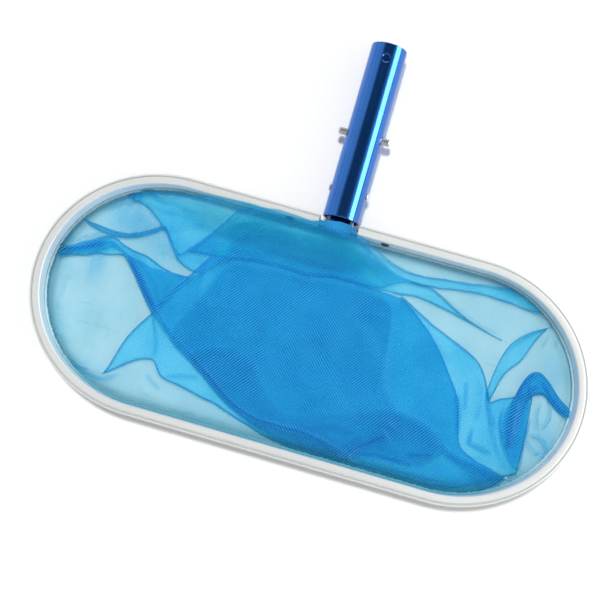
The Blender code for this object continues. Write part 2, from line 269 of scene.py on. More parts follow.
def tube_material():
    n = Nodes("blue_tube")
    obj = n.coords("Object")
    # Drawn tube: hair lines run along Y, round the whole surface.
    lines = n.noise(n.mapping(obj, (1500, 9, 1500)), 1.0, 3.0, 0.6)
    broad = n.noise(n.mapping(obj, (260, 3, 260)), 1.0, 2.0, 0.5)
    cloud = n.noise(obj, 38.0, 3.0, 0.55)
    scuff = n.noise(n.mapping(obj, (420, 60, 420)), 1.0, 5.0, 0.75)
    scratch = n.math("MULTIPLY", n.ramp(scuff, 0.62, 0.70), n.ramp(cloud, 0.45, 0.7))
    c = n.mix(n.ramp(broad, 0.35, 0.65), (0.013, 0.140, 0.52), (0.020, 0.185, 0.66))
    c = n.mix(n.ramp(cloud, 0.4, 0.75, 0.0, 0.4), c, (0.011, 0.120, 0.47))
    c = n.mix(n.math("MULTIPLY", scratch, 0.35), c, (0.08, 0.30, 0.78))
    n.link(c, n.p.inputs["Base Color"])
    r = n.math("ADD", n.ramp(lines, 0.25, 0.75, 0.12, 0.19), n.math("MULTIPLY", scratch, 0.14))
    n.link(r, n.p.inputs["Roughness"])
    n.p.inputs["Metallic"].default_value = 0.92
    n.p.inputs["Specular Tint"].default_value = (0.46, 0.54, 0.74, 1.0)
    n.p.inputs["Coat Weight"].default_value = 0.75
    n.p.inputs["Coat Roughness"].default_value = 0.10
    b = n.bump(lines, 0.00005, 0.35)
    n.link(b, n.p.inputs["Normal"])
    return n.m


def steel_material(name, light, dark, rough, brushed=(900, 900, 60)):
    n = Nodes(name)
    obj = n.coords("Object")
    hair = n.noise(n.mapping(obj, brushed), 1.0, 3.0, 0.6)
    cloud = n.noise(obj, 160.0, 4.0, 0.6)
    pit = n.noise(obj, 1600.0, 2.0, 0.6)
    c = n.mix(n.ramp(cloud, 0.3, 0.72), light, dark)
    c = n.mix(n.ramp(pit, 0.63, 0.75, 0.0, 0.5), c, tuple(0.45 * v for v in dark))
    n.link(c, n.p.inputs["Base Color"])
    r = n.math("ADD", n.ramp(hair, 0.3, 0.7, rough - 0.06, rough + 0.07), n.ramp(cloud, 0.4, 0.8, 0.0, 0.10))
    n.link(r, n.p.inputs["Roughness"])
    n.p.inputs["Metallic"].default_value = 1.0
    b = n.bump(hair, 0.00004, 0.4)
    b = n.bump(pit, 0.00003, 0.4, b)
    n.link(b, n.p.inputs["Normal"])
    return n.m


WEAVE_PITCH = 1.95 * MM


def weave_nodes(n, uv, pitch, angles=(43.0, 139.0), warp=0.9):
    """Two crossing families of threads; gives (family A, family B) as 0 to 1 heights."""
    bend = n.noise(n.mapping(uv, (22, 22, 1)), 1.0, 1.0, 0.4)
    out = []
    for k, deg in enumerate(angles):
        a = math.radians(deg)
        dot = n.add("ShaderNodeVectorMath", operation="DOT_PRODUCT")
        n.link(uv, dot.inputs[0])
        dot.inputs[1].default_value = (math.cos(a) / pitch, math.sin(a) / pitch, 0.0)
        v = n.math("ADD", dot.outputs["Value"], n.math("MULTIPLY", bend, warp * (3.0, -2.4)[k]))
        out.append(n.math("MULTIPLY", n.math("PINGPONG", v, 0.5), 2.0))
    return out


# What one layer of the mesh lets through, thin and flat, and at a hole and a thread of the
# weave where several layers lie together; then the thread's own colour.
NET_FLAT = (0.868, 0.996, 0.972)
NET_LONE = (0.882, 0.949, 0.899)      # lying alone on the floor
NET_LINE = (0.45, 0.72, 0.92)         # thread doubled up along a fold
NET_RIM_SHADE = (0.78, 0.80, 0.81)          # painted shade along the rim, strongest at the left and the far rail
NET_HOLE = (0.650, 0.918, 0.955)
NET_THREAD = (0.800, 0.992, 0.975)
NET_CLOTH_A = (0.042, 0.450, 0.925)
NET_CLOTH_B = (0.074, 0.535, 0.960)
NET_CLOTH_C = (0.032, 0.402, 0.890)


def net_material():
    n = Nodes("net_mesh")
    uv = n.coords("UV")
    obj = n.coords("Object")

    def point_value(name):
        return n.add("ShaderNodeAttribute", attribute_name=name, attribute_type="GEOMETRY").outputs["Fac"]

    body, line, weave = point_value("body"), point_value("line"), point_value("weave")
    face, lone, rim_shade = point_value("face"), point_value("lone"), point_value("rim_shade")
    a, b = weave_nodes(n, uv, WEAVE_PITCH)
    # Where the mesh is pulled one way, one family of threads stands out from the other:
    # family A in the middle of the square, family B either side of it.
    sep = n.add("ShaderNodeSeparateXYZ")
    n.link(obj, sep.inputs[0])
    drift = n.noise(n.mapping(obj, (14, 14, 1)), 1.0, 1.0, 0.4)
    middle = n.math("ABSOLUTE", n.math("SUBTRACT", sep.outputs[0], 0.014))
    middle = n.math("ADD", middle, n.math("MULTIPLY", n.math("SUBTRACT", drift, 0.5), 0.09))
    ta = n.math("MULTIPLY", n.ramp(a, 0.30, 0.86), n.ramp(middle, 0.012, 0.036, 1.0, 0.38))
    tb = n.math("MULTIPLY", n.ramp(b, 0.30, 0.86), n.ramp(middle, 0.008, 0.032, 0.38, 1.0))
    cover = n.math("MAXIMUM", ta, tb)
    knot = n.math("MULTIPLY", ta, tb)
    cloud = n.noise(obj, 30.0, 3.0, 0.55)
    fibre = n.noise(n.mapping(uv, (2600, 2600, 1)), 1.0, 2.0, 0.6)
    streak = n.noise(n.mapping(uv, (90, 900, 1)), 1.0, 3.0, 0.6)

    # Cloth that stands at a slope has more thread in the way of the light.
    facing = n.add("ShaderNodeLayerWeight")
    facing.inputs["Blend"].default_value = 0.5
    slope = n.ramp(facing.outputs["Facing"], 0.02, 0.50, 0.0, 1.0, smooth=False)
    depth = n.math("MULTIPLY", body, n.math("ADD", n.math("MULTIPLY", slope, 1.5), 1.0))
    solid_depth = n.math("ADD", depth, n.math("MULTIPLY", line, 0.35))
    depth = n.math("ADD", depth, n.math("MULTIPLY", line, 0.3))
    depth = n.math("MULTIPLY", depth, n.ramp(streak, 0.3, 0.7, 0.94, 1.06))
    depth = n.math("MULTIPLY", depth, n.ramp(cloud, 0.3, 0.7, 0.94, 1.07))

    tint = n.mix(weave, n.mix(lone, NET_FLAT, NET_LONE), n.mix(cover, NET_HOLE, NET_THREAD))
    parts = n.add("ShaderNodeSeparateColor")
    n.link(tint, parts.inputs[0])
    whole = n.add("ShaderNodeCombineColor")
    for k in range(3):
        v = n.math("POWER", parts.outputs[k], depth)
        v = n.math("MULTIPLY", v, n.math("POWER", NET_LINE[k], line))
        # painted shade: the light let through is cut along the rim
        v = n.math("MULTIPLY", v, n.math("POWER", NET_RIM_SHADE[k], rim_shade))
        n.link(v, whole.inputs[k])
    clear = n.add("ShaderNodeBsdfTransparent")
    n.link(whole.outputs[0], clear.inputs["Color"])

    cloth = n.mix(n.math("MULTIPLY", knot, 0.7), NET_CLOTH_A, NET_CLOTH_B)
    cloth = n.mix(n.ramp(cloud, 0.35, 0.7, 0.0, 0.5), cloth, NET_CLOTH_C)
    # painted shade: the cloth's colour is darkened to a grey teal along the rim
    cloth = n.mix(n.math("MULTIPLY", rim_shade, 0.7), cloth, (0.040, 0.26, 0.42))
    cloth = n.mix(n.math("MULTIPLY", line, 0.5), cloth, (0.026, 0.32, 0.88))
    n.link(cloth, n.p.inputs["Base Color"])
    n.p.inputs["Roughness"].default_value = 0.5
    n.p.inputs["Specular IOR Level"].default_value = 0.3
    height = n.math("MULTIPLY", n.math("ADD", cover, n.math("MULTIPLY", fibre, 0.25)), n.math("ADD", n.math("MULTIPLY", weave, 0.8), 0.2))
    n.link(n.bump(height, 0.00022, 0.6), n.p.inputs["Normal"])
    through = n.add("ShaderNodeBsdfTranslucent")
    n.link(cloth, through.inputs["Color"])
    solid = n.add("ShaderNodeMixShader")
    solid.inputs["Fac"].default_value = 0.25
    n.link(n.p.outputs[0], solid.inputs[1])
    n.link(through.outputs[0], solid.inputs[2])

    # the layer that lies on top shows its threads most
    woven = n.math("ADD", n.math("MULTIPLY", face, 0.46), 0.13)
    woven = n.math("ADD", n.math("MULTIPLY", cover, woven), 0.012)
    dens = n.add("ShaderNodeMix", data_type="FLOAT")
    n.link(weave, dens.inputs["Factor"])
    dens.inputs[2].default_value = 0.135
    n.link(woven, dens.inputs[3])
    amount = n.math("MINIMUM", n.math("MULTIPLY", dens.outputs[0], solid_depth), 0.85)
    mix = n.add("ShaderNodeMixShader")
    n.link(amount, mix.inputs["Fac"])
    n.link(clear.outputs[0], mix.inputs[1])
    n.link(solid.outputs[0], mix.inputs[2])
    n.link(mix.outputs[0], n.out.inputs["Surface"])
    return n.m


def binding_material():
    n = Nodes("net_binding")
    uv = n.coords("UV")
    obj = n.coords("Object")
    a, b = weave_nodes(n, uv, 0.55 * MM, (0.0, 90.0), 0.0)
    rib = n.math("MAXIMUM", n.ramp(a, 0.2, 0.9), n.ramp(b, 0.2, 0.9))
    # A lock stitch along the middle of the band: u runs along it, v across it.
    sep = n.add("ShaderNodeSeparateXYZ")
    n.link(uv, sep.inputs[0])
    along = n.math("PINGPONG", n.math("MULTIPLY", sep.outputs[0], 1 / (3.2 * MM)), 0.5)
    across = n.math("ABSOLUTE", n.math("SUBTRACT", sep.outputs[1], 3.5 * MM))
    stitch = n.math("MULTIPLY", n.ramp(along, 0.10, 0.18), n.ramp(across, 0.25 * MM, 0.42 * MM, 1.0, 0.0))
    cloud = n.noise(obj, 90.0, 3.0, 0.6)
    # Painted shade: the band keeps a dark teal towards the far rail and is paler towards the handle.
    place = n.add("ShaderNodeSeparateXYZ")
    n.link(obj, place.inputs[0])
    pale = n.ramp(n.math("ADD", place.outputs[1], n.math("MULTIPLY", cloud, 0.01)), -0.165, -0.105)
    # ... and the rail's gap keeps the dark teal too, as painted shade
    outside_gap = n.math("MAXIMUM", n.ramp(n.math("ABSOLUTE", place.outputs[0]), 0.017, 0.021), n.ramp(place.outputs[1], -0.02, -0.01, 1.0, 0.0))
    pale = n.math("MULTIPLY", pale, outside_gap)
    c = n.mix(rib, (0.040, 0.23, 0.33), (0.080, 0.36, 0.48))
    c = n.mix(pale, c, n.mix(rib, (0.34, 0.56, 0.64), (0.46, 0.68, 0.74)))
    c = n.mix(n.ramp(cloud, 0.35, 0.7, 0.0, 0.25), c, (0.10, 0.36, 0.46))
    c = n.mix(stitch, c, (0.42, 0.68, 0.76))
    n.link(c, n.p.inputs["Base Color"])
    n.p.inputs["Roughness"].default_value = 0.78
    n.p.inputs["Sheen Weight"].default_value = 0.25
    h = n.math("ADD", n.math("MULTIPLY", rib, 0.5), stitch)
    n.link(n.bump(h, 0.00025, 0.8), n.p.inputs["Normal"])
    return n.m


def cord_material():
    n = Nodes("cord_plastic")
    uv = n.coords("UV")
    obj = n.coords("Object")
    dot = n.add("ShaderNodeVectorMath", operation="DOT_PRODUCT")
    n.link(uv, dot.inputs[0])
    dot.inputs[1].default_value = (1 / (4.5 * MM), 1 / (3.77 * MM), 0.0)
    twist = n.math("MULTIPLY", n.math("PINGPONG", dot.outputs["Value"], 0.5), 2.0)
    fibre = n.noise(n.mapping(uv, (500, 4000, 1)), 1.0, 3.0, 0.6)
    c = n.mix(n.ramp(twist, 0.1, 0.7), (0.015, 0.06, 0.10), (0.05, 0.20, 0.30))
    c = n.mix(n.ramp(n.noise(obj, 120.0), 0.3, 0.7, 0.0, 0.4), c, (0.03, 0.12, 0.2))
    n.link(c, n.p.inputs["Base Color"])
    n.link(n.ramp(fibre, 0.3, 0.7, 0.42, 0.60), n.p.inputs["Roughness"])
    n.link(n.bump(n.math("ADD", twist, n.math("MULTIPLY", fibre, 0.2)), 0.0003, 0.7), n.p.inputs["Normal"])
    return n.m


def floor_material():
    n = Nodes("floor")
    obj = n.coords("Object")
    grain = n.noise(obj, 420.0, 2.0, 0.5)
    c = n.mix(n.ramp(grain, 0.3, 0.7), (0.855, 0.858, 0.860), (0.875, 0.877, 0.878))
    n.link(c, n.p.inputs["Base Color"])
    n.p.inputs["Roughness"].default_value = 0.85
    n.p.inputs["Specular IOR Level"].default_value = 0.2
    return n.m


MATS = {
    "rail": rail_material(),
    "tube": tube_material(),
    "steel": steel_material("bright_steel", (0.80, 0.81, 0.82), (0.64, 0.65, 0.66), 0.24),
    "rivet": steel_material("dark_rivet", (0.10, 0.13, 0.15), (0.05, 0.07, 0.08), 0.42),
    "spring": steel_material("spring_steel", (0.52, 0.53, 0.55), (0.36, 0.37, 0.39), 0.34, (1500, 70, 1500)),
    "net": net_material(),
    "binding": binding_material(),
    "cord": cord_material(),
    "floor": floor_material(),
}


# =====================================================================================
# The rail: its plan line, section and finish
# =====================================================================================
def plan_line(closed, per_end=220, straights=90):
    """(x, y, nx, ny, length so far) of the rail's outer line, from the left of the handle
    round the far side to its right. Closed, it also runs across the handle."""
    pts = []

    def straight(x0, x1, y, ny, count):
        for i in range(count):
            pts.append((x0 + (x1 - x0) * i / count, y, 0.0, ny))

    first = 0.0 if closed else -HALF_GAP
    straight(first, -STRAIGHT, HALF_W, 1.0, straights // 2)
    for side, a0 in ((-1, 90.0), (1, 270.0)):
        for i in range(per_end + (0 if side < 0 else 0)):
            a = math.radians(a0 + 180.0 * i / per_end)
            c, s = math.cos(a), math.sin(a)
            nx, ny = c / END_REACH, s / HALF_W
            k = math.hypot(nx, ny)
            pts.append((side * STRAIGHT + END_REACH * c, HALF_W * s, nx / k, ny / k))
        if side < 0:
            straight(-STRAIGHT, STRAIGHT, -HALF_W, -1.0, straights)
    straight(STRAIGHT, 0.0 if closed else HALF_GAP, HALF_W, 1.0, straights // 2)
    if not closed:
        pts.append((HALF_GAP, HALF_W, 0.0, 1.0))
    p = np.array(pts)
    p[:, 1] += CEN_Y
    step = np.hypot(*(np.diff(p[:, :2], axis=0).T))
    return np.c_[p, np.r_[0.0, np.cumsum(step)]]


def sweep(line, section, closed):
    """verts, quads and uvs of a closed (inset, z) section carried along the line; the last
    ring of a closed sweep is kept apart from the first, so that the uvs don't wrap back."""
    sec = np.asarray(section, float)
    n, m = len(line), len(sec)
    per = np.r_[0.0, np.cumsum(np.hypot(*(np.roll(sec, -1, 0) - sec).T))]
    x = line[:, None, 0] - line[:, None, 2] * sec[None, :, 0]
    y = line[:, None, 1] - line[:, None, 3] * sec[None, :, 0]
    z = np.broadcast_to(sec[None, :, 1], x.shape)
    verts = np.stack([x, y, z], -1).reshape(-1, 3)
    faces, uvs = [], []
    total = line[-1, 4] + (math.hypot(line[0, 0] - line[-1, 0], line[0, 1] - line[-1, 1]) if closed else 0)
    for i in range(n if closed else n - 1):
        k = (i + 1) % n
        s0, s1 = line[i, 4], (total if k == 0 else line[k, 4])
        for j in range(m):
            l = (j + 1) % m
            faces.append((i * m + j, i * m + l, k * m + l, k * m + j))
            uvs.append(((s0, per[j]), (s0, per[j + 1]), (s1, per[j + 1]), (s1, per[j])))
    return verts, faces, uvs


def build_sweep(name, verts, faces, uvs, extra=(), angle=35):
    me = bpy.data.meshes.new(name)
    me.from_pydata([tuple(v) for v in verts], [], list(faces) + list(extra))
    layer = me.uv_layers.new(name="UVMap")
    flat = [c for f in uvs for c in f]
    for f in extra:
        flat += [(verts[v][0], verts[v][2]) for v in f]
    layer.data.foreach_set("uv", np.array(flat, float).ravel())
    me.update()
    me.shade_smooth()
    me.set_sharp_from_angle(angle=math.radians(angle))
    o = bpy.data.objects.new(name, me)
    SCENE.collection.objects.link(o)
    return o


def arc(cx, cy, r, a0, a1, steps):
    return [
        (
            cx + r * math.cos(math.radians(a0 + (a1 - a0) * i / steps)),
            cy + r * math.sin(math.radians(a0 + (a1 - a0) * i / steps)),
        )
        for i in range(steps + 1)
    ]


def rail_section():
    """The rail's outer line as (inset, z): box, groove and outer bead, every corner rounded."""
    w, h, r = RAIL_WIDTH, RAIL_H, 1.5 * MM
    box, rib = 3.0 * MM, 1.05 * MM
    ro, e = 1.0 * MM, 0.3 * MM
    low = h - 2.0 * MM
    pts = []
    pts += arc(w - r, r, r, -90, 0, 8)
    pts += arc(w - e, 3.2 * MM - e, e, 0, 90, 3)
    pts += [(w - 3.0 * MM, 3.2 * MM), (w - 3.0 * MM, 6.2 * MM)]
    pts += arc(w - e, 6.2 * MM + e, e, 270, 360, 3)
    pts += [(w, z) for z in np.linspace(7.5 * MM, h - r - 1.5 * MM, 5)]
    pts += arc(w - r, h - r, r, 0, 90, 8)
    pts += arc(box + ro, h - ro, ro, 90, 180, 6)
    pts += [(box, low + 0.2 * MM), (box - 0.2 * MM, low), (2.1 * MM + 0.2 * MM, low), (2.1 * MM, low + 0.2 * MM)]
    pts += arc(rib, h - 1.4 * MM - rib, rib, 0, 180, 10)
    pts += [(0.0, z) for z in np.linspace(h - 4.5 * MM, 4.5 * MM, 5)]
    pts += arc(rib, 1.4 * MM + rib, rib, 180, 360, 10)
    pts += [(2.1 * MM, h - low - 0.2 * MM), (2.3 * MM, h - low), (box - 0.2 * MM, h - low), (box, h - low - 0.2 * MM)]
    pts += arc(box + ro, ro, ro, 180, 270, 6)
    return pts


def make_rail():
    line = plan_line(False)
    outer = rail_section()
    inner = [(4.1 * MM, 7.4 * MM), (7.6 * MM, 7.4 * MM), (7.6 * MM, 20.8 * MM), (4.1 * MM, 20.8 * MM)]
    v0, f0, u0 = sweep(line, outer, False)
    v1, f1, u1 = sweep(line, inner, False)
    off = len(v0)
    verts = np.r_[v0, v1]
    faces = list(f0) + [tuple(off + i for i in reversed(f)) for f in f1]
    uvs = list(u0) + [tuple(reversed(u)) for u in u1]
    o = build_sweep("rail_body", verts, faces, uvs)
    # The two open ends: fill between the outer line and the hollow.
    bm = bmesh.new()
    bm.from_mesh(o.data)
    open_edges = [e for e in bm.edges if len(e.link_faces) == 1]
    for side in (-1, 1):
        ring = [e for e in open_edges if side * e.verts[0].co.x > 0]
        bmesh.ops.triangle_fill(bm, use_beauty=True, edges=ring)
    bmesh.ops.recalc_face_normals(bm, faces=bm.faces)
    bm.to_mesh(o.data)
    bm.free()
    o.data.shade_smooth()
    o.data.set_sharp_from_angle(angle=math.radians(32))
    # Rivet holes through the inner wall.
    wall_y = CEN_Y + HALF_W - RAIL_WIDTH
    tools = []
    for side in (-1, 1):
        tools.append(round_cutter((side * 41.0 * MM, wall_y + 0.6 * MM, 14.1 * MM), (0, 1, 0), 2.3 * MM, 2.6 * MM))
    cut_away(o, tools)
    set_material(o, MATS["rail"])
    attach(o, "frame")
    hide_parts("frame_rail")
    return o


def round_cutter(centre, axis, radius, length, facets=48):
    bm = bmesh.new()
    turn = Vector((0, 0, 1)).rotation_difference(Vector(axis)).to_matrix().to_4x4()
    bmesh.ops.create_cone(
        bm, cap_ends=True, segments=facets, radius1=radius, radius2=radius, depth=length,
        matrix=Matrix.Translation(Vector(centre)) @ turn,
    )
    me = bpy.data.meshes.new("cutter")
    bm.to_mesh(me)
    bm.free()
    o = bpy.data.objects.new("cutter", me)
    SCENE.collection.objects.link(o)
    return o


def cut_away(o, tools, bevel=None):
    for t in tools:
        m = o.modifiers.new("cut", "BOOLEAN")
        m.operation = "DIFFERENCE"
        m.solver = "EXACT"
        m.object = t
    if bevel:
        m = o.modifiers.new("edge", "BEVEL")
        m.width = bevel
        m.segments = 2
        m.limit_method = "ANGLE"
        m.angle_limit = math.radians(50)
        m.use_clamp_overlap = True
        m.harden_normals = False
    bake_modifiers(o)
    for t in tools:
        data = t.data
        bpy.data.objects.remove(t, do_unlink=True)
        bpy.data.meshes.remove(data)
    return o


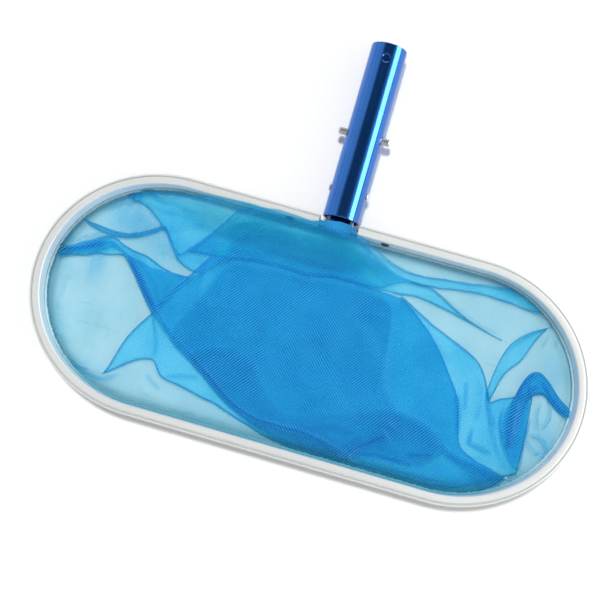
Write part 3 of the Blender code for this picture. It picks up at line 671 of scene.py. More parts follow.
# =====================================================================================
# The net: one sheet of mesh, attached all round and folded over itself
# =====================================================================================
# Each fold is a pair of lines in plan, in millimetres of the row frame: the cloth comes
# up from the far rail to the upper line, turns back to the lower line, and goes on. Where
# the upper line is above the lower one there are two layers more; elsewhere the pair is
# shut and the cloth lies single. The folds are listed in the cloth's own order.
FOLDS = {
    # the flap that points left, and the big quilted square in the middle
    "square": dict(
        upper=[(-155.5, -149.5), (-153.5, -146), (-151.5, -140), (-150, -133), (-148, -124), (-144, -113),
               (-138, -102), (-132, -93), (-129.5, -89), (-126, -82), (-122, -74), (-117, -65), (-110, -53),
               (-104, -43), (-98, -32), (-94, -30.5), (-88, -30), (-79, -29), (-70, -27.5), (-60, -25.8),
               (-50, -24.8), (-40, -24.3), (-29, -24.3), (-15, -24.8), (-10, -24.3), (-4, -22.5), (4, -21),
               (12, -20.3), (24, -20.3), (40, -20.7), (55, -20.5), (66, -21.5), (75, -26.5), (85, -34), (95, -42),
               (105, -52), (115, -64), (125, -77), (130, -84), (134, -92), (137, -103), (140, -115),
               (143, -125), (150, -130), (160, -134), (172, -137), (186, -141)],
        lower=[(-155.5, -149.5), (-150, -146), (-144, -141), (-138, -135.5), (-132, -131), (-125, -128),
               (-117.5, -126.8), (-115, -131), (-110, -137.5), (-107, -139), (-100, -140), (-90, -142),
               (-75, -145.3), (-60, -148), (-45, -152.5), (-30, -156.8), (-15, -161), (0, -164.3),
               (12, -166.3), (125, -166.5), (150, -164), (168, -157), (180, -149), (186, -141)],
    ),
    # the dark band low at the right
    "band": dict(
        upper=[(130, -129), (136, -131), (142, -132.5), (150, -132.5), (160, -134), (170, -135.5),
               (180, -137.5), (188, -141)],
        lower=[(130, -130), (136, -137), (144, -141), (152, -143), (158, -147), (164, -153), (170, -155.5),
               (178, -150.5), (186, -144), (188, -141)],
    ),
    # the gathered bottom of the square, twice over
    "foot": dict(
        upper=[(-92, -113), (-85, -107), (-76, -103), (-66, -98.5), (-55, -97), (-45, -99), (-35, -106),
               (-26, -118), (-15, -132), (-5, -140), (5, -140.5), (15, -137), (28, -131), (40, -127.5),
               (52, -122), (62, -119), (72, -115), (82, -112.5), (92, -113), (105, -116), (118, -120),
               (126, -126), (134, -133)],
        lower=[(-92, -113), (-88, -116), (-80, -121.5), (-70, -128.5), (-60, -135), (-50, -142), (-40, -147),
               (-32, -152), (-26, -158), (-18, -161), (0, -163.5), (60, -163.5), (64, -158), (70, -153.5),
               (80, -152), (110, -151.5), (118, -149), (126, -142), (134, -133)],
    ),
    "toe": dict(
        upper=[(4, -150), (14, -146), (30, -144), (48, -146), (58, -142), (68, -134), (78, -128), (84, -131),
               (90, -138), (104, -145), (114, -150)],
        lower=[(4, -152), (14, -158), (30, -162), (55, -162), (60, -158.5), (66, -153), (80, -151.5),
               (104, -151), (114, -150.5)],
    ),
    # the inner layers of the square
    "wide": dict(
        upper=[(-113, -97), (-108, -87), (-104, -80), (-100, -71), (-95, -59), (-90, -48), (-86, -38),
               (-80, -31.5), (-72, -29), (-60, -27), (-40, -25.5), (-15, -26), (4, -22.5), (24, -21.5),
               (50, -23), (58, -26), (63, -32), (66, -42), (67, -56), (68, -74), (72, -92), (80, -102),
               (88, -108), (98, -111), (110, -113), (120, -116), (130, -123), (138, -131)],
        lower=[(-113, -97), (-110, -106), (-104, -113), (-96, -118.5), (-88, -122), (-75, -129), (-60, -139),
               (-50, -144.5), (-40, -149.5), (-30, -153.5), (-20, -157), (0, -161), (30, -163), (56, -163),
               (62, -160), (70, -155), (80, -153), (95, -152.5), (110, -152.5), (118, -150.5), (126, -143),
               (138, -131)],
    ),
    # the rolled edge: a thin dark line below the strap and along the bottom of the square
    "roll": dict(
        upper=[(-163, -49), (-155, -56), (-147, -64.5), (-138, -74.5), (-130, -82.5), (-124, -90), (-118, -96),
               (-104, -106), (-94, -112), (-88, -114.3), (-80, -119.7), (-70, -126.5), (-60, -133), (-50, -140),
               (-44, -143.2), (-34, -146.8), (-20, -149.4), (0, -149.5), (20, -149), (35, -151), (50, -155),
               (60, -158)],
        lower=[(-163, -50), (-155, -60), (-147, -69), (-138, -79), (-130, -87.5), (-124, -90.5), (-118, -97),
               (-104, -107), (-94, -112.6), (-88, -117.4), (-80, -123.3), (-70, -130.5), (-60, -137),
               (-50, -144), (-44, -146.8), (-34, -150.2), (-20, -152.6), (0, -152.5), (20, -152), (35, -154),
               (50, -158), (60, -160)],
    ),
    # the thick strap at the left, the layers under the square, and the area right of it
    "strap": dict(
        upper=[(-220, -57), (-210, -53.5), (-205, -49.5), (-195, -44), (-188, -39.5), (-182, -37.5),
               (-176, -38), (-170, -41.5), (-160, -43.5), (-150, -45), (-142, -47.5), (-134, -51), (-125, -53),
               (-112, -53.5), (-106, -51), (-100, -46), (-95, -36), (-91, -24), (-87, -12), (-82, -1),
               (-75, 8), (-65, 13), (0, 13.5), (10, 12.5), (18, 7), (28, -1), (38, -8), (48, -14),
               (57, -18), (65, -19.5), (75, -24), (85, -30), (95, -35), (105, -39), (115, -43), (125, -47),
               (133, -50), (140, -54), (146, -60), (150, -66), (153, -72), (155.5, -79), (158.5, -86.5),
               (161, -83.5), (166, -79.5), (171, -77.5), (176, -75.5), (180, -72), (185, -68), (190, -66),
               (193, -72), (194.5, -134)],
        lower=[(-220, -65), (-210, -61.5), (-200, -59), (-190, -54), (-180, -53), (-172, -50.5), (-167, -49.3),
               (-160, -56.5), (-150, -68), (-140, -80), (-130, -90.5), (-120, -97), (-110, -104.5),
               (-100, -112), (-88, -119), (-75, -127), (-60, -138), (-50, -144), (-40, -148.5), (-30, -152.5),
               (-20, -155.5), (-5, -159.5), (10, -162), (60, -163), (125, -163), (150, -159), (160, -153),
               (170, -147), (180, -142), (188, -138.5), (194.5, -134)],
    ),
    # the lobe at the right-hand end, the arch on its edge, and the ribbon doubled into that
    "lobe": dict(
        upper=[(171.5, -92), (173, -84), (176, -77), (179, -73), (183, -69), (187, -66), (190, -66),
               (192, -70), (193, -80), (193.7, -133)],
        lower=[(171.5, -92), (172.5, -103), (176, -111), (181, -119), (186, -126), (190, -131.5), (193.7, -133)],
    ),
    "arch": dict(
        upper=[(176, -80), (177.5, -72), (179.5, -63), (182, -56), (185, -51.8), (188, -50), (192, -49.5),
               (197, -52), (203, -57), (210, -64), (217, -69), (223.5, -74)],
        lower=[(176, -80), (178, -104), (181, -117), (184, -118), (185.5, -100), (186.5, -80), (188.5, -71),
               (191, -68), (195, -67.5), (199, -66), (203, -68), (208, -72.5), (214, -76.5), (219, -78.5),
               (223.5, -79.3)],
    ),
    "ribbon": dict(
        upper=[(178, -73), (180, -64), (182.5, -57.5), (186, -53.5), (190, -51.3), (193, -51.3), (198, -54.5),
               (204, -60), (211, -66.5), (218, -71), (223.5, -75)],
        lower=[(178, -73.5), (182, -74), (186, -72.5), (190, -69), (193, -66.5), (197, -65), (200, -66),
               (206, -71), (212, -75.5), (218, -78.2), (223.5, -79)],
    ),
    # the band that curls up to the pinch at the right-hand end
    "curl": dict(
        upper=[(153.8, -77), (155, -62), (156, -54), (158, -46), (160, -39), (163, -32.5), (168, -26.5),
               (176, -20), (183, -16), (189, -12)],
        lower=[(153.8, -77), (158.5, -86), (159.3, -80), (161, -70), (163, -62), (167, -54), (172, -48),
               (177, -40), (179, -32), (182, -25), (185, -18.5), (189, -12)],
    ),
    # the core of the left-hand strap, then the doubled cloth below it
    "core": dict(
        upper=[(-220, -57.5), (-210, -54.5), (-205, -50.5), (-195, -45.5), (-188, -41.5), (-181, -40),
               (-175, -43), (-167, -47), (-163, -49.3), (-155, -50.5), (-150, -51.5), (-140, -53.5),
               (-125, -54.3), (-108, -54)],
        lower=[(-220, -64.5), (-210, -60.5), (-200, -57), (-190, -52), (-182, -47.5), (-175, -44),
               (-167, -48), (-163, -50), (-155, -60), (-147, -69.5), (-138, -79.5), (-131, -87.5),
               (-128, -86), (-122, -74), (-117, -65), (-108, -54.5)],
    ),
    # the thin strap at the left, the wedge, and the narrow band at the right
    "wedge": dict(
        upper=[(-208, -29.5), (-200, -31), (-190, -32), (-180, -32.5), (-170, -32), (-160, -28), (-150, -22),
               (-143, -17), (-139, -17.5), (-130, -30), (-122, -37.5), (-113, -27.5), (-100, -11), (-90, 1),
               (-84, 9), (-75, 13.5), (0, 14.5), (14, 14), (24, 11), (36, 5), (50, -1), (62, -5),
               (75, -6), (88, -6.3), (95, -10), (105, -15), (115, -20), (125, -24), (135, -27),
               (148, -31), (155, -32.5)],
        lower=[(-208, -30), (-200, -33.5), (-190, -36), (-180, -36), (-170, -35), (-160, -31.5), (-150, -25.5),
               (-143, -20.5), (-139, -18.5), (-130, -30.5), (-122, -38.5), (-117, -32), (-108, -30.5),
               (-100, -30), (-92, -29.5), (-80, -27.5), (-70, -25.5), (-60, -23.5), (-45, -22), (-29, -22),
               (-15, -22.5), (-4, -20.3), (4, -19), (12, -18.3), (30, -18.3), (48, -19), (60, -18.6),
               (66, -18), (72, -17), (80, -17), (90, -18), (100, -20), (110, -22), (120, -24), (130, -26.5),
               (148, -31.5), (155, -32.8)],
    ),
    # the large area under the handle and the band that runs to the pinch
    "top": dict(
        upper=[(-177, 1), (-172, 4.5), (-166, 7.5), (-158, 9), (-150, 8), (-141, 10), (-123, 12.5),
               (-114, 14.0), (-98, 15.5), (-81, 17.3), (-64, 17.0), (-48, 18.4), (-21, 17.8), (-9, 20.6),
               (0, 22.4), (10, 22.0), (16, 18.2), (21, 15.9), (28, 13.8), (39, 9.5), (50, 5), (60, 2),
               (70, 1), (80, 1), (90, 2), (100, 4), (110, 5), (120, 6), (130, 8), (140, 9.5), (150, 10),
               (158, 9.5), (168, 7), (178, 3), (189, -3)],
        lower=[(-177, 0), (-172, -4), (-168, -2.5), (-160, -5), (-152, -10), (-145, -16), (-140, -20),
               (-133, -28), (-127, -36), (-124, -40), (-118, -44), (-110, -47), (-104, -47.5), (-98, -44),
               (-92, -38), (-86, -31.5), (-78, -27.5), (-70, -26), (-60, -24.5), (-40, -23.3), (-15, -23.8),
               (4, -20.3), (20, -19.5), (40, -19.5), (50, -16), (58, -10), (66, -6.8), (76, -6.2), (88, -5),
               (92, -5.5), (100, -4), (110, -2), (120, -1), (130, 0), (145, 0), (158, -1), (170, -2.5),
               (180, -1.5), (189, -3.5)],
    ),
}
FOLD_ORDER = ["square", "band", "foot", "toe", "wide", "roll", "strap", "lobe", "arch", "ribbon", "curl", "core", "wedge", "top"]
# Folds whose edge is a slow curve and not a crease: how far it takes to come in, mm.
SLOW = {"foot": 7.0, "toe": 5.0, "wide": 6.5, "band": 4.5, "lobe": 2.5}
# Part of a fold's edge that comes in slowly: from x, to x, and over how far, mm.
SOFT = {("strap", "upper"): (-97.0, 66.0, 15.0)}
# How much thread is doubled up along each fold's edge.
EDGE = {"square": 0.55, "band": 0.0, "foot": 0.0, "toe": 0.0, "wide": 0.0, "roll": 0.25, "strap": 0.40, "lobe": 0.1,
        "arch": 0.6, "ribbon": 0.5, "curl": 0.35, "core": 0.15, "wedge": 0.35, "top": 0.30}


LAYER = 0.42        # spacing of the cloth's layers, mm
PUFF = 0.75         # how much further apart they stand at a fold
RIM_INSET = 9.25    # from the rail's outer line to the cloth's own edge, mm
RIM_Z = 4.6

# Soft ridges and hollows pressed into every layer: points, height, half width, in mm, and
# how much thread is bunched up along the crest.
CREASES = [
    # left-hand end
    ([(-186, -53), (-187, -62), (-189, -70), (-191, -78)], 0.4, 6.0, 0.0),
    ([(-198, -130), (-189, -131), (-181, -130)], 0.5, 3.4, 0.15),
    ([(-196, -118), (-190, -124), (-183, -128)], 0.4, 3.4, 0.1),
    ([(-190, -143), (-180, -149), (-172, -152), (-164, -154), (-154, -154), (-147, -150), (-141, -145)], 0.9, 2.4, 0.9),
    ([(-121, -140), (-115, -144), (-109, -147.5), (-105, -149)], 0.6, 1.9, 0.55),
    ([(-124, -152), (-112, -155), (-98, -157)], 1.0, 3.0, 0.0),
    ([(-171, 9), (-173, 3), (-174, -3), (-176, -9)], 1.4, 2.6, 0.7),
    ([(-170, 5), (-167, 0), (-165, -8), (-162, -18)], 1.0, 3.0, 0.3),
    ([(-173, 6), (-177, 0), (-184, -8), (-194, -16)], 0.8, 3.0, 0.1),
    ([(-171, 5), (-162, 8), (-154, 5), (-144, 4)], 1.8, 2.0, 0.2),
    ([(-168, 3), (-158, -1), (-146, -3), (-132, -2)], 1.3, 2.6, 0.1),
    ([(-214, -30), (-216.5, -38), (-215, -47), (-217, -56)], 0.9, 2.2, 0.8),
    ([(-220, -60), (-212, -57), (-203, -53), (-192, -47), (-184, -43)], 1.8, 1.5, 0.9),
    ([(-219, -56), (-209, -50), (-200, -43), (-190, -38.5), (-181, -36.5)], 1.6, 1.6, 0.4),
    ([(-196, -40), (-190, -37.5), (-184, -36.5), (-176, -36)], 1.0, 1.4, 0.5),
    ([(-208, -30), (-198, -32), (-188, -34), (-176, -34), (-166, -32), (-156, -27)], 1.2, 1.2, 0.5),
    ([(-182, -43), (-172, -45), (-160, -47), (-146, -51)], 1.4, 2.4, 0.2),
    ([(-163, -49.5), (-155, -58), (-147, -66.7), (-138, -76.8), (-130, -85)], 1.8, 1.9, 1.3),
    ([(-146, -55), (-138, -60), (-130, -70), (-124, -80)], 1.2, 2.6, 0.0),
    ([(-131, -88), (-120, -97), (-106, -106), (-96, -112)], 1.2, 2.4, 0.0),
    ([(-129, -90), (-124, -102), (-119, -114), (-117, -126)], 0.9, 1.6, 0.25),
    ([(-122, -38), (-113, -27.5), (-100, -11), (-91, 0)], 0.9, 1.0, 0.45),
    ([(-117, -31), (-108, -30), (-99, -30)], 0.7, 1.2, 0.2),
    ([(-140, -20), (-130, -14), (-118, -8), (-106, 0)], 1.2, 3.0, 0.1),
    ([(-148, 6), (-130, 6), (-103, 5), (-80, 4)], 1.4, 3.4, 0.0),
    ([(-206, -110), (-204, -92), (-207, -78)], 1.1, 4.5, 0.0),
    ([(-105, -138), (-95, -134.5), (-84, -131.5), (-76, -131)], 0.9, 1.4, 0.3),
    # the middle
    ([(-94, -112), (-80, -121), (-66, -130), (-52, -140), (-40, -145.8), (-24, -150.5), (0, -151), (20, -150.5), (36, -153), (50, -156.5), (58, -158.5)], 1.4, 1.2, 0.7),
    ([(-96, -33), (-70, -29), (-45, -26), (-15, -27), (12, -23), (48, -24)], 0.9, 2.2, 0.0),
    ([(-60, -60), (-35, -74), (-10, -84), (8, -96)], 1.1, 6.5, 0.0),
    ([(-14, -74), (-4, -78), (10, -72), (18, -64)], 1.2, 4.5, 0.05),
    ([(9, -39), (40, -56), (62, -80), (74, -104)], 1.2, 5.5, 0.0),
    ([(28, -48), (44, -42), (58, -42), (66, -50)], 1.2, 3.4, 0.08),
    ([(-100, -70), (-80, -66), (-58, -70)], 1.0, 5.0, 0.0),
    ([(-74, -104), (-52, -108), (-30, -114)], 1.2, 5.0, 0.05),
    ([(-85, -20), (-50, -12), (-10, -10), (30, -12)], 1.2, 5.0, 0.0),
    ([(-60, 2), (-20, 5), (20, 4), (48, -4)], 1.2, 4.0, 0.0),
    # along the far rail
    ([(55, -159), (61, -153), (68, -147), (76, -140.5), (87, -132.5)], 1.7, 1.3, 0.75),
    ([(52, -157), (55, -151), (60, -145), (66, -141)], 1.3, 1.8, 0.2),
    ([(54, -160), (62, -156), (70, -153.3), (80, -151.7), (95, -151.3), (112, -151)], 1.5, 1.2, 0.6),
    ([(103, -144), (110, -143), (119, -140.8), (127, -138.5)], 1.3, 1.5, 0.40),
    ([(0, -151), (15, -147), (30, -142), (45, -138), (60, -140)], 1.2, 2.6, 0.15),
    ([(64, -120), (80, -114), (96, -114), (112, -118), (124, -124)], 1.2, 3.6, 0.1),
    ([(74, -128), (82, -124), (92, -130)], 1.2, 2.6, 0.2),
    ([(57, -163), (71, -159), (99, -157), (132, -156), (156, -152)], 1.3, 2.4, 0.0),
    ([(-50, -158), (-20, -161), (20, -161)], 1.2, 2.0, 0.0),
    # right-hand end
    ([(130, -128), (138, -134), (150, -137), (169, -139.5), (188, -141)], 1.8, 2.6, 0.2),
    ([(130, -84), (134, -92), (137, -103), (140, -117)], 1.6, 1.7, 0.4),
    ([(136, -72), (137, -80), (139, -90), (140, -97)], 1.3, 1.5, 0.32),
    ([(149.5, -108), (150, -115), (151, -121), (158, -122), (166, -123.5), (171, -124)], 1.7, 1.6, 0.40),
    ([(141, -64), (147, -76), (150, -90), (150.5, -104)], 1.2, 2.6, 0.1),
    ([(154, -74), (157, -85), (161, -94), (167, -104)], 1.5, 2.0, 0.35),
    ([(163, -90), (165, -104), (172, -118), (182, -129), (191, -137)], 1.3, 2.2, 0.2),
    ([(170, -84), (171, -98), (176, -111), (184, -123), (192, -135)], 1.4, 1.6, 0.4),
    ([(180, -76), (180, -90), (181, -104), (183, -117)], 2.2, 2.4, 0.35),
    ([(193, -86), (193.5, -100), (194, -116), (195, -134)], 1.4, 1.2, 0.5),
    ([(180, -73), (181, -65), (183.5, -58), (187, -53.5), (191, -52)], 1.7, 1.3, 0.8),
    ([(194, -56), (200, -61), (207, -68), (215, -74), (223.5, -77.5)], 1.8, 1.3, 0.9),
    ([(186, -60), (188, -66), (192, -62), (196, -62)], 1.3, 1.6, 0.4),
    ([(189, -1), (191, -7), (190.5, -13)], 2.2, 1.6, 1.0),
    ([(192, -4), (196, -9), (199, -17), (199, -27)], 1.4, 1.2, 0.6),
    ([(193, -3), (199, -8), (205, -16), (208, -26)], 1.1, 1.4, 0.25),
    ([(190, -12), (189, -20), (186, -30)], 1.2, 2.2, 0.1),
    ([(188, -10), (181, -17), (172, -24), (164, -34), (158, -47)], 1.2, 2.0, 0.15),
    ([(211, -27), (216, -37), (220, -47), (222.5, -57), (223.3, -69)], 2.0, 1.4, 1.0),
    ([(198, -73), (197.5, -82), (199, -90), (202, -97)], 1.4, 1.4, 0.4),
    ([(203, -67), (207, -75), (208.5, -84), (206.5, -91), (203, -95)], 1.4, 1.3, 0.5),
    ([(195, -101), (203, -101), (209, -103.5), (214, -108), (215.5, -114)], 1.8, 1.5, 0.7),
    ([(193, -106), (199, -111), (205, -114), (210, -113)], 1.4, 1.5, 0.4),
    ([(216, -106), (214, -113), (211, -121)], 1.8, 1.7, 0.7),
    ([(160, 6), (176, 1), (188, -4)], 1.3, 2.4, 0.1),
    ([(92, -8), (108, -16), (130, -24.5), (152, -31), (158, -33)], 1.2, 1.3, 0.3),
    ([(95, -44), (118, -54), (136, -66), (146, -78)], 1.0, 3.6, 0.0),
]

# Places where the mesh is drawn closer together or pulled thin: x, y, reach in x, reach in
# y, mm, and how much denser the cloth is there.
DRAWN = [
    (78, -58, 24, 26, -0.10),
    (162, -42, 12, 14, -0.16),
    (-60, 9, 70, 8, 0.16),
    (-108, -22, 14, 12, -0.12),
    (-30, -148, 70, 13, 0.20),
    (130, -150, 36, 13, 0.24),
    (-165, -21, 20, 11, 0.75),
    (-180, -8, 10, 12, 0.35),
    (-120, -8, 34, 22, 0.32),
    (-186, -58, 7, 9, 0.34),
    (-189, -68, 6, 13, 0.30),
    (-128, -38, 24, 12, 0.32),
    (-141, -33, 14, 11, 0.25),
    (-120, -115, 14, 14, 0.15),
    (150, -50, 60, 42, 0.05),
    (202, -100, 13, 15, 0.30),
    (130, 2, 50, 10, 0.08),
    (60, -14, 26, 8, -0.05),
    (182, -98, 9, 24, 0.25),
    (165, -105, 10, 20, 0.25),
    (20, -156, 50, 8, 0.15),
    (-1, 19.5, 15, 5.5, 4.5),
    (62, -152, 14, 8, 0.25),
    (-60, -112, 26, 12, 0.08),
    (205, -45, 14, 16, 0.25),
    (214, -112, 8, 14, 0.5),
    (172, -150, 16, 8, 0.35),
]


def rim_edges(inset):
    """Upper and lower y of the rail's inner outline at that inset, as functions of x, mm."""
    line = plan_line(True, 400, 200)
    x = (line[:, 0] - line[:, 2] * inset * MM) / MM
    y = (line[:, 1] - line[:, 3] * inset * MM) / MM
    cen = CEN_Y / MM
    hi, lo = y >= cen, y <= cen
    a, b = np.argsort(x[hi]), np.argsort(x[lo])
    xh, yh, xl, yl = x[hi][a], y[hi][a], x[lo][b], y[lo][b]
    return (lambda q: np.interp(q, xh, yh)), (lambda q: np.interp(q, xl, yl)), min(xh.max(), xl.max())


def eased(points, xs, reach=1.5):
    """A drawn line's y at every x, its corners rounded over that reach, mm."""
    p = np.array(points, float)
    q = np.arange(p[0, 0], p[-1, 0] + 0.5, 0.5)
    y = np.interp(q, p[:, 0], p[:, 1])
    k = int(4 * reach / 0.5)
    long = np.r_[2 * y[0] - y[1:k + 1][::-1], y, 2 * y[-1] - y[-k - 1:-1][::-1]]
    g = np.exp(-0.5 * (np.arange(-k, k + 1) * 0.5 / reach) ** 2)
    return np.interp(xs, q, np.convolve(long, g / g.sum(), "valid"))


def fold_lines(xs, top, bottom):
    """For every column, the y of each turn of the cloth and how far each fold is open."""
    K = len(FOLD_ORDER)
    pos, half, mid = np.zeros((2 * K, len(xs))), np.zeros((K, len(xs))), np.zeros((K, len(xs)))
    for k, name in enumerate(FOLD_ORDER):
        u, l = FOLDS[name]["upper"], FOLDS[name]["lower"]
        x0, x1 = max(u[0][0], l[0][0]), min(u[-1][0], l[-1][0])
        uy, ly = eased(u, xs), eased(l, xs)
        # a cloth's edge wavers a little
        waver = 0.35 * np.sin(xs / 5.3 + 1.7 * k) + 0.22 * np.sin(xs / 2.9 + 0.6 * k * k) + 0.5 * np.sin(xs / 11.7 + k)
        waver2 = 0.35 * np.sin(xs / 4.7 + 2.3 * k + 1) + 0.22 * np.sin(xs / 2.6 + 0.9 * k) + 0.5 * np.sin(xs / 13.1 - k)
        calm = np.clip(np.minimum(xs - x0, x1 - xs) / 8.0, 0, 1) * np.clip((uy - ly) / 8.0, 0, 1)
        uy, ly = uy + 0.45 * waver * calm, ly + 0.45 * waver2 * calm
        half[k] = np.where((xs < x0) | (xs > x1), -1.0, (uy - ly) / 2)
        mid[k] = (uy + ly) / 2
    # A shut fold is only a point on the way up between its neighbours: keep them in order.
    shut = half < 0.10
    half = np.maximum(half, 0.02)
    for k in range(K):
        low = bottom + 0.4 if k == 0 else mid[k - 1] - np.where(shut[k - 1], -0.16, half[k - 1] - 0.16)
        mid[k] = np.where(shut[k], np.maximum(mid[k], low), mid[k])
    for k in range(K - 1, -1, -1):
        high = top - 0.4 if k == K - 1 else mid[k + 1] + np.where(shut[k + 1], -0.16, half[k + 1] - 0.16)
        mid[k] = np.where(shut[k], np.minimum(mid[k], high), mid[k])
    for k in range(K):
        pos[2 * k] = np.where(shut[k], mid[k] - 0.05, mid[k] + half[k])
        pos[2 * k + 1] = np.where(shut[k], mid[k] + 0.05, mid[k] - half[k])
    # keep every turn inside the rim
    n = 2 * K
    for i in range(n):
        pos[i] = np.maximum(pos[i], bottom + np.minimum(0.10 * (i + 1), (top - bottom) * (i + 1) / (n + 2)))
        inner = top - np.minimum(0.10 * (n - i), (top - bottom) * (n - i) / (n + 2))
        if FOLD_ORDER[i // 2] == "top" and i % 2 == 0:
            inner = np.where((xs > -118) & (xs < 26), np.maximum(inner, 23.0), inner)
        pos[i] = np.minimum(pos[i], inner)
    openness = np.where(shut, 0.0, smoothstep(half / 0.9))
    return pos, openness


def relief(x, y):
    """Height of the ground the cloth lies on, mm: slow swells and pressed creases; and how
    much thread is bunched along the creases."""
    z = 0.55 + 0.45 * (1 + wave_noise(x, y, 5, 55.0))
    z += 0.22 * (1 + wave_noise(x, y, 9, 21.0))
    z += 0.07 * (1 + wave_noise(x, y, 14, 9.0))
    pleat = np.zeros(x.shape)
    for pts, height, width, bunch in CREASES:
        p = np.array(pts, float)
        seg = np.hypot(*(np.diff(p, axis=0).T))
        run = np.r_[0, np.cumsum(seg)]
        near = (x > p[:, 0].min() - 4 * width) & (x < p[:, 0].max() + 4 * width)
        near &= (y > p[:, 1].min() - 4 * width) & (y < p[:, 1].max() + 4 * width)
        if not near.any():
            continue
        xn, yn = x[near], y[near]
        bn, tn = np.full(xn.shape, 1e9), np.zeros(xn.shape)
        for i in range(len(seg)):
            dx, dy = (p[i + 1] - p[i]) / seg[i]
            t = np.clip((xn - p[i, 0]) * dx + (yn - p[i, 1]) * dy, 0, seg[i])
            d = np.hypot(xn - p[i, 0] - t * dx, yn - p[i, 1] - t * dy)
            tn = np.where(d < bn, (run[i] + t) / run[-1], tn)
            bn = np.minimum(d, bn)
        ends = smoothstep(np.minimum(tn, 1 - tn) / 0.22 + 0.12)
        z[near] += height * ends * np.exp(-((bn / width) ** 2))
        pleat[near] = np.maximum(pleat[near], bunch * ends * np.exp(-((bn / min(0.8 * width, 1.9)) ** 2)))
    return z, pleat


def drawn(x, y, edge):
    """How dense the cloth is at each place, 1 where it lies easy; and how much painted shade lies along the rim,
    strongest at the left and along the far rail."""
    m = 1 + 0.05 * wave_noise(x, y, 21, 34.0)
    for cx, cy, rx, ry, amount in DRAWN:
        m += amount * np.exp(-(((x - cx) / rx) ** 2) - ((y - cy) / ry) ** 2)
    # the hem gathers the cloth a little all round; the extra density at the left and along the far rail, and the second
    # value, are painted shade where the rail shades the cloth
    ex = np.sign(x) * np.maximum(np.abs(x) - STRAIGHT / MM, 0) / (END_REACH / MM)
    ey = (y - CEN_Y / MM) / (HALF_W / MM)
    k = np.maximum(np.hypot(ex, ey), 1e-6)
    # painted shade: side weights the left and the far rail, where the rail shades the cloth
    side = smoothstep((-0.8 * ey / k - 0.6 * ex / k + 0.3) / 0.8)
    taken = np.exp(-((edge / 6.5) ** 1.6))
    return m * (1 + (0.10 + 0.45 * side) * taken), side * taken


